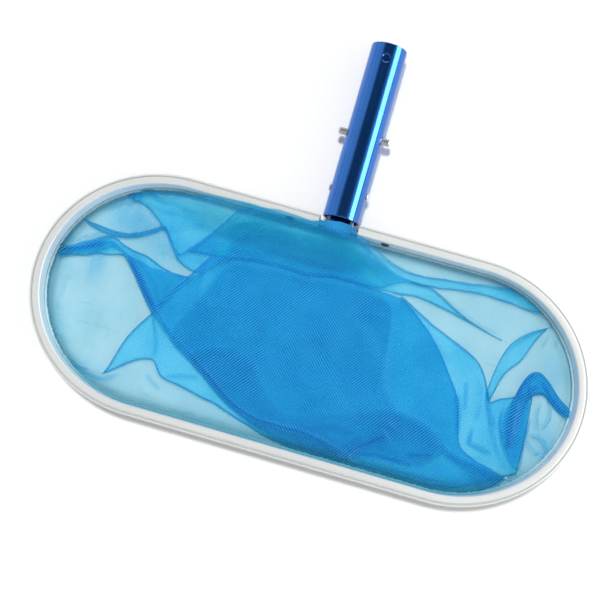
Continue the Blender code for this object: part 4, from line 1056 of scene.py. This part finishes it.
def make_net():
    step = 1.4
    top_of, bottom_of, x_max = rim_edges(RIM_INSET)
    # columns: even along the middle, closer at the ends and at steep parts of the folds
    count = int(2 * x_max / step)
    t = np.linspace(-1, 1, count)
    xs = x_max * np.sin(t * math.pi / 2 * 0.9) / math.sin(math.pi / 2 * 0.9)
    xs = 0.45 * xs + 0.55 * x_max * t
    ends = x_max * (1 - 0.5 * np.linspace(1, 0.03, 14) ** 2 * 0.02)
    extra = [ends, -ends]
    for c, w, s in ((158.9, 2.2, 0.3), (194, 2.0, 0.3), (153.5, 3.0, 0.45), (173.5, 3.0, 0.5), (-138, 3.0, 0.6),
                    (-158, 2.5, 0.5), (-220, 2.5, 0.4), (188.8, 2.0, 0.35), (-126, 3.0, 0.6), (160.5, 1.5, 0.4)):
        extra.append(np.arange(c - w, c + w, s))
    xs = np.unique(np.concatenate([xs] + extra))
    xs = xs[(np.abs(xs) <= x_max * 0.9997)]
    keep = [xs[0]]
    for v in xs[1:]:
        if v - keep[-1] > 0.16:
            keep.append(v)
    xs = np.array(keep)
    top, bottom = top_of(xs), bottom_of(xs)
    pos, openness = fold_lines(xs, top, bottom)
    K = len(FOLD_ORDER)
    S = 2 * K + 1
    turns = np.vstack([bottom, pos, top])           # S + 1 rows

    # Build each column as parts: segment, turn, segment, turn ... Each part's points are
    # (y, segment index or turn, where in the turn).
    cols = []
    X, Y, SEG, ARC, KK = [], [], [], [], []
    for c in range(len(xs)):
        parts, start = [], len(X)
        def put(y, seg, arc_at, kk):
            X.append(xs[c]); Y.append(y); SEG.append(seg); ARC.append(arc_at); KK.append(kk)
            return len(X) - 1
        last = put(turns[0, c], 0, -1.0, -1)
        for j in range(S):
            y0, y1 = turns[j, c], turns[j + 1, c]
            n = max(1, int(round(abs(y1 - y0) / step)))
            part = [last]
            for i in range(1, n + 1):
                part.append(put(y0 + (y1 - y0) * i / n, j, -1.0, -1))
            parts.append(part)
            last = part[-1]
            if j < S - 1:
                k = j // 2
                if openness[k, c] > 0.25:
                    part = [last]
                    m = 6
                    for i in range(1, m):
                        part.append(put(y1, j, i / m, k))
                    part.append(put(y1, j + 1, -1.0, -1))
                    parts.append(part)
                    last = part[-1]
                else:
                    # shut: the next segment starts from the same point
                    parts.append([last])
        cols.append(parts)
    X, Y = np.array(X), np.array(Y)
    SEG, ARC, KK = np.array(SEG), np.array(ARC), np.array(KK)
    col_of = np.searchsorted(xs, X)

    tp, bt = top_of(X), bottom_of(X)
    U, L, O = pos[0::2][:, col_of], pos[1::2][:, col_of], openness[:, col_of]

    def stacked(seg):
        """Height above the ground from the layers of later folds that lie underneath; and how
        many layers lie on top."""
        z, above = np.zeros(len(X)), np.zeros(len(X))
        for k in range(K):
            lev = np.where(seg <= 2 * k, 2.0, np.where(seg == 2 * k + 1, 1.0, 0.0))
            over, under = Y - U[k], L[k] - Y
            out = np.maximum(over, under)
            slow = SLOW.get(FOLD_ORDER[k], 0.0)
            if slow:
                z += O[k] * smoothstep(0.35 - out / slow) * lev * LAYER
                above += O[k] * smoothstep(0.35 - out / slow) * (2 - lev)
            else:
                cover = smoothstep(1 - out / 1.6)
                edge = np.exp(-np.clip(np.minimum(-over, -under), 0, 50) / 2.6)
                z += O[k] * cover * lev * (LAYER + PUFF * edge * 0.5)
                above += O[k] * (out < 0) * (2 - lev)
        return z, above

    z_stack, above = stacked(SEG)
    z_next, _ = stacked(SEG + 1)
    face = smoothstep(1.25 - above)
    rim_d = np.minimum(rim_distance(X, Y), 60.0)
    ground, pleat = relief(X, Y)
    calm = smoothstep(rim_d / 9.0)
    ground = 0.5 + (ground - 0.5) * calm

    # Lift: the stack under the handle climbs the rail's inner wall and turns over its edge.
    lift_h = np.interp(X, [-170, -158, -135, -112, -95, 14, 22, 32, 46, 70], [0, 2.5, 6.5, 15.0, 21.3, 21.3, 16.0, 8.5, 3.0, 0.0])
    lift_y0 = np.interp(X, [-150, -100, 0, 40], [-4, -14, -16, -8])
    s = np.clip((Y - lift_y0) / (np.minimum(tp + 0.2, 14.2) - lift_y0), 0, 1.0)
    ramp = 0.35 * s + 0.65 * smoothstep(s)
    lift = lift_h * ramp * (1 + 0.03 * wave_noise(X, Y, 3, 30.0))
    lift = np.where(Y > 14.0, np.maximum(lift, lift_h), lift)
    last_seg = S - 1
    own = SEG < last_seg
    lift = np.where(own, lift, 0.0)

    # Rim: the cloth's edge sits in the binding, above the floor.
    def raise_at(d, reach):
        return (RIM_Z - 0.5) * (1 - smoothstep(d / reach)) ** 1.0

    d_top = np.where(Y > CEN_Y / MM, rim_d, 60.0)
    near_end = smoothstep((np.abs(X) - 205) / 14)
    w_mid = np.maximum(smoothstep((Y + 92) / 26), near_end)
    raised = np.where(SEG == 0, 1.0, w_mid) * raise_at(rim_d, 9.0)
    # Lifted layers already stand clear of the edge below them.
    raised = np.where(own & (lift > 4.0) & (SEG > 0), np.minimum(raised, 0.6), raised)
    z = ground + z_stack + lift + raised
    # points on a turn: a half circle from this segment's height down to the next one's
    on = ARC >= 0
    z2 = ground + z_next + lift + raised
    zi = np.where(on, 0, z)
    hi, lo = z, z2
    r = np.maximum(hi - lo, 0.05) / 2
    phi = np.clip(ARC, 0, 1) * math.pi
    side = np.where(SEG % 2 == 0, 1.0, -1.0)     # an upper turn points up in y
    Yf = np.where(on, Y + side * r * 0.9 * np.sin(phi), Y)
    zf = np.where(on, (hi + lo) / 2 + r * np.cos(phi), z)
    # the first point of each segment after a turn was made with its own segment's index
    # keep off the rail's inner wall while below its top
    wall_y = (CEN_Y + HALF_W - RAIL_WIDTH) / MM
    inside_gap = np.abs(X) < HALF_GAP / MM - 1.0
    free = (zf > RAIL_H / MM + 0.35) | inside_gap
    limit = np.where(free, 40.0, np.minimum(tp + 0.3, wall_y - 0.35))
    Yf = np.minimum(Yf, limit)
    zf = np.maximum(zf, 0.35)

    # small independent flutter of each layer, less than its spacing
    flutter = np.zeros(len(X))
    for j in range(S):
        m = SEG == j
        flutter[m] = 0.10 * wave_noise(X[m], Y[m], 40 + j, 17.0)
    zf = np.maximum(zf + flutter * calm, 0.32)

    # the thread doubled up at this segment's own turns, and the slow folds' fading in
    lean = np.array([1 / np.hypot(1, np.gradient(p, xs)) for p in pos])[:, col_of]
    line, sheer, plies = np.zeros(len(X)), np.ones(len(X)), np.ones(len(X))
    for k, name in enumerate(FOLD_ORDER):
        slow, edge = SLOW.get(name, 0.0), EDGE[name]
        du, dl = np.abs(Y - U[k]) * lean[2 * k], np.abs(Y - L[k]) * lean[2 * k + 1]
        at_u = (SEG == 2 * k) | (SEG == 2 * k + 1)
        at_l = (SEG == 2 * k + 1) | (SEG == 2 * k + 2)
        for near, d, word in ((at_u, du, "upper"), (at_l, dl, "lower")):
            near = near & (O[k] > 0.02)
            if (name, word) in SOFT:
                x0, x1, reach = SOFT[name, word]
                part = near & (X > x0) & (X < x1)
                sheer[part] *= smoothstep(d[part] / reach + 0.04)
                near = near & ~part
            if slow:
                sheer[near] *= smoothstep(d[near] / slow + 0.04)
            elif edge:
                line[near] = np.maximum(line[near], edge * O[k][near] * np.exp(-((d[near] / 0.95) ** 2)))
        reach = slow if slow else 1.5
        plies += 2 * O[k] * smoothstep((U[k] - Y) * lean[2 * k] / reach + 0.1) * smoothstep((Y - L[k]) * lean[2 * k + 1] / reach + 0.1)
    line = np.maximum(line, pleat * 0.62)
    # where the mesh lies single it is made denser
    density, rim_shade = drawn(X, Y, rim_d)
    body = density * sheer * (1 + 0.70 * smoothstep(1.5 - (plies - 1) / 1.4)) * (1 - 0.33 * smoothstep(lift / 8.0))
    line = line * sheer
    weave = smoothstep((plies - 1.5) / 4.2) * (1 - 0.50 * smoothstep((Y + 25) / 11)) * (1 - 0.55 * smoothstep((-126 - Y) / 16))
    lone = smoothstep(1.5 - (plies - 1) / 1.4)
    line = line * smoothstep((rim_d - 0.4) / 2.6)

    faces = []
    for c in range(len(cols) - 1):
        for pa, pb in zip(cols[c], cols[c + 1]):
            n, m = len(pa) - 1, len(pb) - 1
            if n == m:
                for i in range(n):
                    faces.append((pa[i], pb[i], pb[i + 1], pa[i + 1]))
                continue
            i = j = 0
            while i < n or j < m:
                ta = (i + 1) / n if i < n else 2.0
                tb = (j + 1) / m if j < m else 2.0
                if ta <= tb:
                    faces.append((pa[i], pb[j], pa[i + 1]))
                    i += 1
                else:
                    faces.append((pa[i], pb[j], pb[j + 1]))
                    j += 1

    # thread directions: plan coordinates, mirrored on every layer that lies face down,
    # and each layer turned a little, as hand-folded cloth is
    rng = np.random.RandomState(11)
    turn = np.radians(rng.uniform(-3.2, 3.2, S + 1))
    off = rng.uniform(-0.01, 0.01, (S + 1, 2))
    ca, sa = np.cos(turn[SEG]), np.sin(turn[SEG])
    u = (ca * X - sa * Y) * MM + off[SEG, 0]
    v = (sa * X + ca * Y) * MM + off[SEG, 1]
    v = np.where(SEG % 2 == 1, -v, v)
    verts = np.c_[X, Yf, zf] * MM
    o = mesh_object("net_bag_mesh", verts, faces, np.c_[u, v])
    for name, values in (("body", body), ("line", line), ("weave", weave), ("face", face), ("lone", lone), ("rim_shade", rim_shade)):
        attr = o.data.attributes.new(name, "FLOAT", "POINT")
        attr.data.foreach_set("value", values.astype(np.float32))
    set_material(o, MATS["net"])
    return o


def rim_distance(x, y):
    """Distance inwards from the cloth's own edge, mm."""
    line = plan_line(True, 240, 120)
    px = (line[:, 0] - line[:, 2] * RIM_INSET * MM) / MM
    py = (line[:, 1] - line[:, 3] * RIM_INSET * MM) / MM
    a = np.c_[px, py]
    b = np.roll(a, -1, 0)
    d = b - a
    ln = np.maximum(np.hypot(d[:, 0], d[:, 1]), 1e-9)
    best = np.full(len(x), 1e9)
    for s in range(0, len(x), 20000):
        X, Y = x[s:s + 20000, None], y[s:s + 20000, None]
        t = np.clip(((X - a[:, 0]) * d[:, 0] + (Y - a[:, 1]) * d[:, 1]) / ln**2, 0, 1)
        q = np.hypot(X - a[:, 0] - t * d[:, 0], Y - a[:, 1] - t * d[:, 1])
        best[s:s + 20000] = q.min(1)
    return best


def make_hem():
    """The sewn edge: a folded band round the bag, slightly gathered."""
    line = plan_line(True, 260, 240)
    s0, s1, lo, hi = 8.9 * MM, 10.75 * MM, 2.75 * MM, 6.5 * MM
    r = 0.7 * MM
    sec = []
    sec += arc(s1 - r, lo + r, r, -90, 0, 5)
    sec += [(s1, (lo + hi) / 2)]
    sec += arc(s1 - r, hi - r, r, 0, 90, 5)
    sec += arc(s0 + 0.3 * MM, hi - 0.3 * MM, 0.3 * MM, 90, 180, 3)
    sec += [(s0, (lo + hi) / 2)]
    sec += arc(s0 + 0.3 * MM, lo + 0.3 * MM, 0.3 * MM, 180, 270, 3)
    verts, faces, uvs = sweep(line, sec, True)
    m = len(sec)
    n = len(line)
    s = line[:, 4][:, None] * np.ones(m)[None, :]
    inset = np.array(sec)[:, 0][None, :] * np.ones(n)[:, None]
    loops = line[-1, 4]
    k = 2 * math.pi / loops
    gather = 0.16 * np.sin(s * k * 190) + 0.12 * np.sin(s * k * 73 + 1.1) + 0.12 * np.sin(s * k * 311 + 0.4)
    push = gather * MM * smoothstep((inset - s0) / (s1 - s0))
    verts = verts.reshape(n, m, 3)
    verts[:, :, 0] -= line[:, None, 2] * push
    verts[:, :, 1] -= line[:, None, 3] * push
    verts[:, :, 2] += (0.10 * np.sin(s * k * 97 + 2.0) + 0.08 * np.sin(s * k * 223)) * MM * smoothstep((inset - s0) / (s1 - s0))
    o = build_sweep("net_hem_band", verts.reshape(-1, 3), faces, uvs, angle=60)
    set_material(o, MATS["binding"])
    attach(o, "frame")
    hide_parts("net_hem")
    return o


def make_cord():
    line = plan_line(True, 200, 160)
    inset, z, r = 7.3 * MM, 4.7 * MM, 1.15 * MM
    sec = [(inset + r * math.cos(2 * math.pi * i / 14), z + r * math.sin(2 * math.pi * i / 14)) for i in range(14)]
    verts, faces, uvs = sweep(line, sec, True)
    o = build_sweep("net_cord_line", verts, faces, uvs, angle=80)
    set_material(o, MATS["cord"])
    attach(o, "frame")
    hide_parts("net_cord")
    return o


# =====================================================================================
# The tube and the small metal pieces
# =====================================================================================
def make_tube():
    r, w = (tube_hi.x - tube_lo.x) / 2, 1.5 * MM
    y0, y1, zc = tube_lo.y, tube_hi.y, r
    c = 0.42 * MM
    prof = [(y, r) for y in np.linspace(y0 + 4 * c, y1 - 4 * c, 40)]
    prof += [(y1 - c + c * math.sin(a), r - c + c * math.cos(a)) for a in np.radians([0, 18, 36, 54, 72, 90])]
    prof += [(y1 - c + c * math.cos(a), r - w + c - c * math.sin(a)) for a in np.radians([0, 18, 36, 54, 72, 90])]
    prof += [(y, r - w) for y in np.linspace(y1 - 4 * c, y0 + 4 * c, 40)]
    prof += [(y0 + c - c * math.sin(a), r - w + c - c * math.cos(a)) for a in np.radians([0, 18, 36, 54, 72, 90])]
    prof += [(y0 + c - c * math.cos(a), r - c + c * math.sin(a)) for a in np.radians([0, 18, 36, 54, 72, 90])]
    facets = 224
    bm = bmesh.new()
    rings = []
    for y, rr in prof:
        rings.append([
            bm.verts.new((rr * math.sin(2 * math.pi * i / facets), y, zc - rr * math.cos(2 * math.pi * i / facets)))
            for i in range(facets)
        ])
    for k in range(len(rings)):
        a, b = rings[k], rings[(k + 1) % len(rings)]
        for i in range(facets):
            j = (i + 1) % facets
            bm.faces.new((a[i], a[j], b[j], b[i]))
    o = from_bmesh("handle_tube_shell", bm)
    by = y1 - 78 * MM
    tools = [
        round_cutter((0, by, zc), (1, 0, 0), 4.2 * MM, 2 * r + 4 * MM, 64),
        round_cutter((0, y1 - 13 * MM, zc), (0, 0, 1), 3.25 * MM, 2 * r + 4 * MM, 64),
        round_cutter((0, y0 + 24.5 * MM, zc), (1, 0, 0), 2.3 * MM, 2 * r + 4 * MM, 40),
    ]
    # a light countersink at the top of the cross hole
    sink = bmesh.new()
    bmesh.ops.create_cone(sink, cap_ends=True, segments=64, radius1=3.25 * MM, radius2=4.65 * MM, depth=1.4 * MM)
    cone = from_bmesh("countersink", sink, smooth=False)
    cone.location = (0, y1 - 13 * MM, 2 * r - 0.15 * MM)
    bpy.context.view_layer.update()
    tools.append(cone)
    cut_away(o, tools)
    o.data.shade_smooth()
    o.data.set_sharp_from_angle(angle=math.radians(30))
    set_material(o, MATS["tube"])
    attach(o, "frame")
    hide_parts("handle_tube")
    return o


def refined(node, name, body, mat, bevel, segments=3, angle=28, sharp=40):
    """The CAD node's own shape with its flat facets joined and its edges rounded."""
    src = NODES[node].data
    bm = bmesh.new()
    bm.from_mesh(src)
    bmesh.ops.remove_doubles(bm, verts=bm.verts, dist=1e-6)
    bmesh.ops.dissolve_limit(bm, angle_limit=math.radians(1.0), verts=bm.verts, edges=bm.edges)
    o = from_bmesh(name, bm)
    m = o.modifiers.new("edge", "BEVEL")
    m.width = bevel
    m.segments = segments
    m.limit_method = "ANGLE"
    m.angle_limit = math.radians(angle)
    m.use_clamp_overlap = True
    m.miter_outer = "MITER_ARC"
    bake_modifiers(o)
    o.data.shade_smooth()
    o.data.set_sharp_from_angle(angle=math.radians(sharp))
    set_material(o, mat)
    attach(o, body)
    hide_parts(node)
    return o


def lathe(name, profile, centre, direction, body, mat, node, facets=64):
    """Turned about an axis through centre: profile is (along, radius) points; direction is
    the axis as a unit vector."""
    d = Vector(direction).normalized()
    turn = Vector((1, 0, 0)).rotation_difference(d).to_matrix()
    bm = bmesh.new()
    rings = []
    for x, r in profile:
        if r < 1e-9:
            rings.append([bm.verts.new(Vector(centre) + turn @ Vector((x, 0, 0)))])
        else:
            rings.append([
                bm.verts.new(Vector(centre) + turn @ Vector((x, r * math.cos(2 * math.pi * i / facets), r * math.sin(2 * math.pi * i / facets))))
                for i in range(facets)
            ])
    for a, b in zip(rings, rings[1:]):
        for i in range(facets):
            j = (i + 1) % facets
            if len(a) == 1:
                bm.faces.new((a[0], b[i], b[j]))
            elif len(b) == 1:
                bm.faces.new((a[i], a[j], b[0]))
            else:
                bm.faces.new((a[i], a[j], b[j], b[i]))
    o = from_bmesh(name, bm, angle=38)
    set_material(o, mat)
    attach(o, body)
    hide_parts(node)
    return o


def make_metal():
    for side, word in ((-1, "left"), (1, "right")):
        refined(f"tang_{word}", f"tang_{word}_bent", "frame", MATS["steel"], 0.45 * MM, 3, 40)
        refined(f"clip_arm_{word}", f"clip_arm_{word}_strip", f"{word}_clip", MATS["spring"], 0.16 * MM, 2, 40)
        # press button: a turned plug with a rounded crown and a faint turning ring
        lo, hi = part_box(f"button_{word}")
        cy, cz = (lo.y + hi.y) / 2, (lo.z + hi.z) / 2
        r = (hi.z - lo.z) / 2
        x_out = 12.65 * MM + 0.45 * MM + 0.3 * MM
        x_in = 12.65 * MM - 0.45 * MM - 0.3 * MM
        tip = max(abs(lo.x), abs(hi.x))
        dome = 2.3 * MM
        prof = [(x_in - 0.8 * MM, 0.0), (x_in - 0.8 * MM, 2.0 * MM), (x_in - 0.7 * MM, 2.35 * MM),
                (x_in - 0.4 * MM, 2.6 * MM), (x_in - 0.1 * MM, 2.6 * MM), (x_in, 2.5 * MM), (x_in, 1.5 * MM), (x_out, 1.5 * MM),
                (x_out, r - 0.25 * MM), (x_out + 0.08 * MM, r - 0.07 * MM), (x_out + 0.25 * MM, r)]
        prof += [(x, r) for x in np.linspace(x_out + 1.0 * MM, tip - dome - 0.3 * MM, 4)]
        for i in range(0, 13):
            a = math.radians(90.0 * i / 13)
            prof.append((tip - dome + dome * math.sin(a), r * math.cos(a) ** 0.92))
        prof.append((tip, 0.0))
        lathe(f"button_{word}_plug", prof, (0, cy, cz), (side, 0, 0), f"{word}_clip", MATS["steel"], f"button_{word}")
        # tube rivet
        lo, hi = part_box(f"tube_rivet_{word}")
        cy, cz = (lo.y + hi.y) / 2, (lo.z + hi.z) / 2
        near, far = min(abs(lo.x), abs(hi.x)), max(abs(lo.x), abs(hi.x))
        head = far - 1.6 * MM
        prof = [(near, 0.0), (near, 2.0 * MM), (near + 0.12 * MM, 2.35 * MM), (near + 0.35 * MM, 2.7 * MM), (near + 0.7 * MM, 2.9 * MM),
                (near + 1.1 * MM, 2.9 * MM), (near + 1.1 * MM, 2.0 * MM), (head, 2.0 * MM), (head, 2.9 * MM), (head + 0.08 * MM, 3.0 * MM), (head + 0.25 * MM, 3.0 * MM)]
        for i in range(1, 12):
            a = math.radians(90.0 * i / 12)
            prof.append((head + 0.25 * MM + 1.35 * MM * math.sin(a), 3.0 * MM * math.cos(a) ** 0.85))
        prof.append((far, 0.0))
        lathe(f"tube_rivet_{word}_head", prof, (0, cy, cz), (side, 0, 0), "frame", MATS["steel"], f"tube_rivet_{word}")
        # rail rivet: its head is on the rail's inner wall, its shank runs towards the handle
        lo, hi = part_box(f"rail_rivet_{word}")
        cx, cz = (lo.x + hi.x) / 2, (lo.z + hi.z) / 2
        face = lo.y + 1.6 * MM
        prof = [(0.0, 0.0)]
        for i in range(1, 12):
            a = math.radians(90.0 * i / 12)
            prof.append((1.4 * MM * (1 - math.cos(a)), 3.6 * MM * math.sin(a) ** 0.85))
        prof += [(1.42 * MM, 3.6 * MM), (1.55 * MM, 3.55 * MM), (1.6 * MM, 3.4 * MM), (1.6 * MM, 2.0 * MM), (hi.y - lo.y, 2.0 * MM), (hi.y - lo.y, 0.0)]
        lathe(f"rail_rivet_{word}_head", prof, (cx, lo.y, cz), (0, 1, 0), "frame", MATS["rivet"], f"rail_rivet_{word}")
    refined("clip_bow", "clip_bow_strip", "frame", MATS["spring"], 0.16 * MM, 2, 40)


# =====================================================================================
# Studio: floor, light, camera
# =====================================================================================
TENT = 0.50
KEY = 2.48
PANEL_X = (0.38, 0.66)


def area_light(name, place, aim, size, power, colour=(1, 1, 1), size_y=None):
    data = bpy.data.lights.new(name, "AREA")
    data.shape = "RECTANGLE" if size_y else "SQUARE"
    data.size = size
    if size_y:
        data.size_y = size_y
    data.energy = power
    data.color = colour
    o = bpy.data.objects.new(name, data)
    o.location = place
    o.rotation_mode = "QUATERNION"
    o.rotation_quaternion = (Vector(aim) - Vector(place)).to_track_quat("-Z", "Y")
    SCENE.collection.objects.link(o)
    return o


def make_studio():
    bm = bmesh.new()
    bmesh.ops.create_grid(bm, x_segments=8, y_segments=8, size=3.0)
    floor = from_bmesh("floor", bm, smooth=False)
    floor.location = (0, 0, -0.0002)
    set_material(floor, MATS["floor"])

    # A bright tent all round with one dark panel overhead, which gives the tube its dark band.
    world = bpy.data.worlds.new("studio")
    world.use_nodes = True
    t = world.node_tree
    bg = t.nodes["Background"]
    bg.inputs["Strength"].default_value = 1.0
    way = t.nodes.new("ShaderNodeTexCoord").outputs["Generated"]

    def along(axis):
        d = t.nodes.new("ShaderNodeVectorMath")
        d.operation = "DOT_PRODUCT"
        t.links.new(way, d.inputs[0])
        d.inputs[1].default_value = axis
        return d.outputs["Value"]

    def edge(v, inner, outer):
        a = t.nodes.new("ShaderNodeMath")
        a.operation = "ABSOLUTE"
        t.links.new(v, a.inputs[0])
        r = t.nodes.new("ShaderNodeMapRange")
        r.interpolation_type = "SMOOTHSTEP"
        t.links.new(a.outputs[0], r.inputs["Value"])
        r.inputs["From Min"].default_value = inner
        r.inputs["From Max"].default_value = outer
        r.inputs["To Min"].default_value = 1.0
        r.inputs["To Max"].default_value = 0.0
        return r.outputs["Result"]

    up = Vector((0.035, 0.33, 0.943)).normalized()
    across = Vector((1, 0, 0)).cross(up).normalized()
    aside = up.cross(across).normalized()
    both = t.nodes.new("ShaderNodeMath")
    both.operation = "MULTIPLY"
    t.links.new(edge(along(aside), PANEL_X[0], PANEL_X[1]), both.inputs[0])
    t.links.new(edge(along(across), 0.17, 0.29), both.inputs[1])
    above = t.nodes.new("ShaderNodeMath")
    above.operation = "GREATER_THAN"
    t.links.new(along(up), above.inputs[0])
    above.inputs[1].default_value = 0.0
    # a second flag over the left of the rail keeps its top greyer there than at the right
    low = t.nodes.new("ShaderNodeMapRange")
    low.interpolation_type = "SMOOTHSTEP"
    t.links.new(along((-0.6, 0.8, 0.0)), low.inputs["Value"])
    low.inputs["From Min"].default_value = 0.03
    low.inputs["From Max"].default_value = 0.17
    flag = t.nodes.new("ShaderNodeMath")
    flag.operation = "MULTIPLY"
    t.links.new(low.outputs["Result"], flag.inputs[0])
    t.links.new(edge(along((1.0, 0.0, 0.18)), 0.24, 0.36), flag.inputs[1])
    bounded = t.nodes.new("ShaderNodeMath")
    bounded.operation = "MULTIPLY"
    t.links.new(flag.outputs[0], bounded.inputs[0])
    t.links.new(edge(along((0.0, 1.0, -0.08)), 0.22, 0.36), bounded.inputs[1])
    either = t.nodes.new("ShaderNodeMath")
    either.operation = "MAXIMUM"
    t.links.new(both.outputs[0], either.inputs[0])
    t.links.new(bounded.outputs[0], either.inputs[1])
    panel = t.nodes.new("ShaderNodeMath")
    panel.operation = "MULTIPLY"
    t.links.new(either.outputs[0], panel.inputs[0])
    t.links.new(above.outputs[0], panel.inputs[1])
    mix = t.nodes.new("ShaderNodeMix")
    mix.data_type = "RGBA"
    t.links.new(panel.outputs[0], mix.inputs["Factor"])
    mix.inputs[6].default_value = (TENT * 0.985, TENT * 0.995, TENT, 1.0)
    mix.inputs[7].default_value = (0.05, 0.055, 0.065, 1.0)
    t.links.new(mix.outputs[2], bg.inputs["Color"])
    SCENE.world = world

    # The main light is high at the upper left. It lights matt surfaces only; the two long
    # boxes beside the tube are for its reflections only.
    sun = bpy.data.lights.new("key_soft", "SUN")
    sun.energy = KEY
    sun.angle = math.radians(10)
    sun.color = (1.0, 0.996, 0.988)
    key = bpy.data.objects.new("key_soft", sun)
    key.rotation_mode = "QUATERNION"
    key.rotation_quaternion = Vector((-0.09, 0.235, 0.968)).to_track_quat("Z", "Y")
    key.visible_glossy = False
    SCENE.collection.objects.link(key)
    box = area_light("box_left", (-1.15, 0.35, 0.62), (0, 0.12, 0), 1.8, 2.1, (0.99, 0.995, 1.0), 1.1)
    box.visible_diffuse = False
    strip = area_light("strip_right", (1.225, 0.42, 0.60), (0, 0.12, 0), 1.9, 31.0, (0.97, 0.985, 1.0), 0.74)
    strip.visible_diffuse = False
    # a low fill from the lower right, which lights the rail's far inner walls
    fill = area_light("fill_right", (2.55, -0.82, 0.88), (0, -0.08, 0.01), 1.3, 24.0, (1.0, 0.995, 0.985))
    fill.visible_glossy = False

    cam_data = bpy.data.cameras.new("camera")
    cam_data.sensor_width = 36.0
    cam_data.sensor_fit = "HORIZONTAL"
    cam_data.lens = 36.0 * 1100.0 / 612.0
    cam_data.clip_start, cam_data.clip_end = 0.02, 20.0
    cam = bpy.data.objects.new("camera", cam_data)
    right = Vector((0.96107, 0.27546, -0.02145))
    up = Vector((-0.27201, 0.95694, 0.10139))
    back = Vector((0.04846, -0.09161, 0.99462))
    m = Matrix((right, up, back)).transposed().to_4x4()
    m.translation = Vector((0.035906, -0.133124, 0.911863))
    cam.matrix_world = m
    SCENE.collection.objects.link(cam)
    SCENE.camera = cam
    SCENE.view_settings.view_transform = "Standard"
    SCENE.view_settings.look = "None"
    SCENE.view_settings.exposure = 0.0
    SCENE.view_settings.gamma = 1.0
    SCENE.cycles.transparent_max_bounces = 32


make_studio()
make_rail()
make_tube()
make_metal()
make_cord()
hem = make_hem()
net = make_net()
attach(net, "frame")
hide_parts("net_bag")
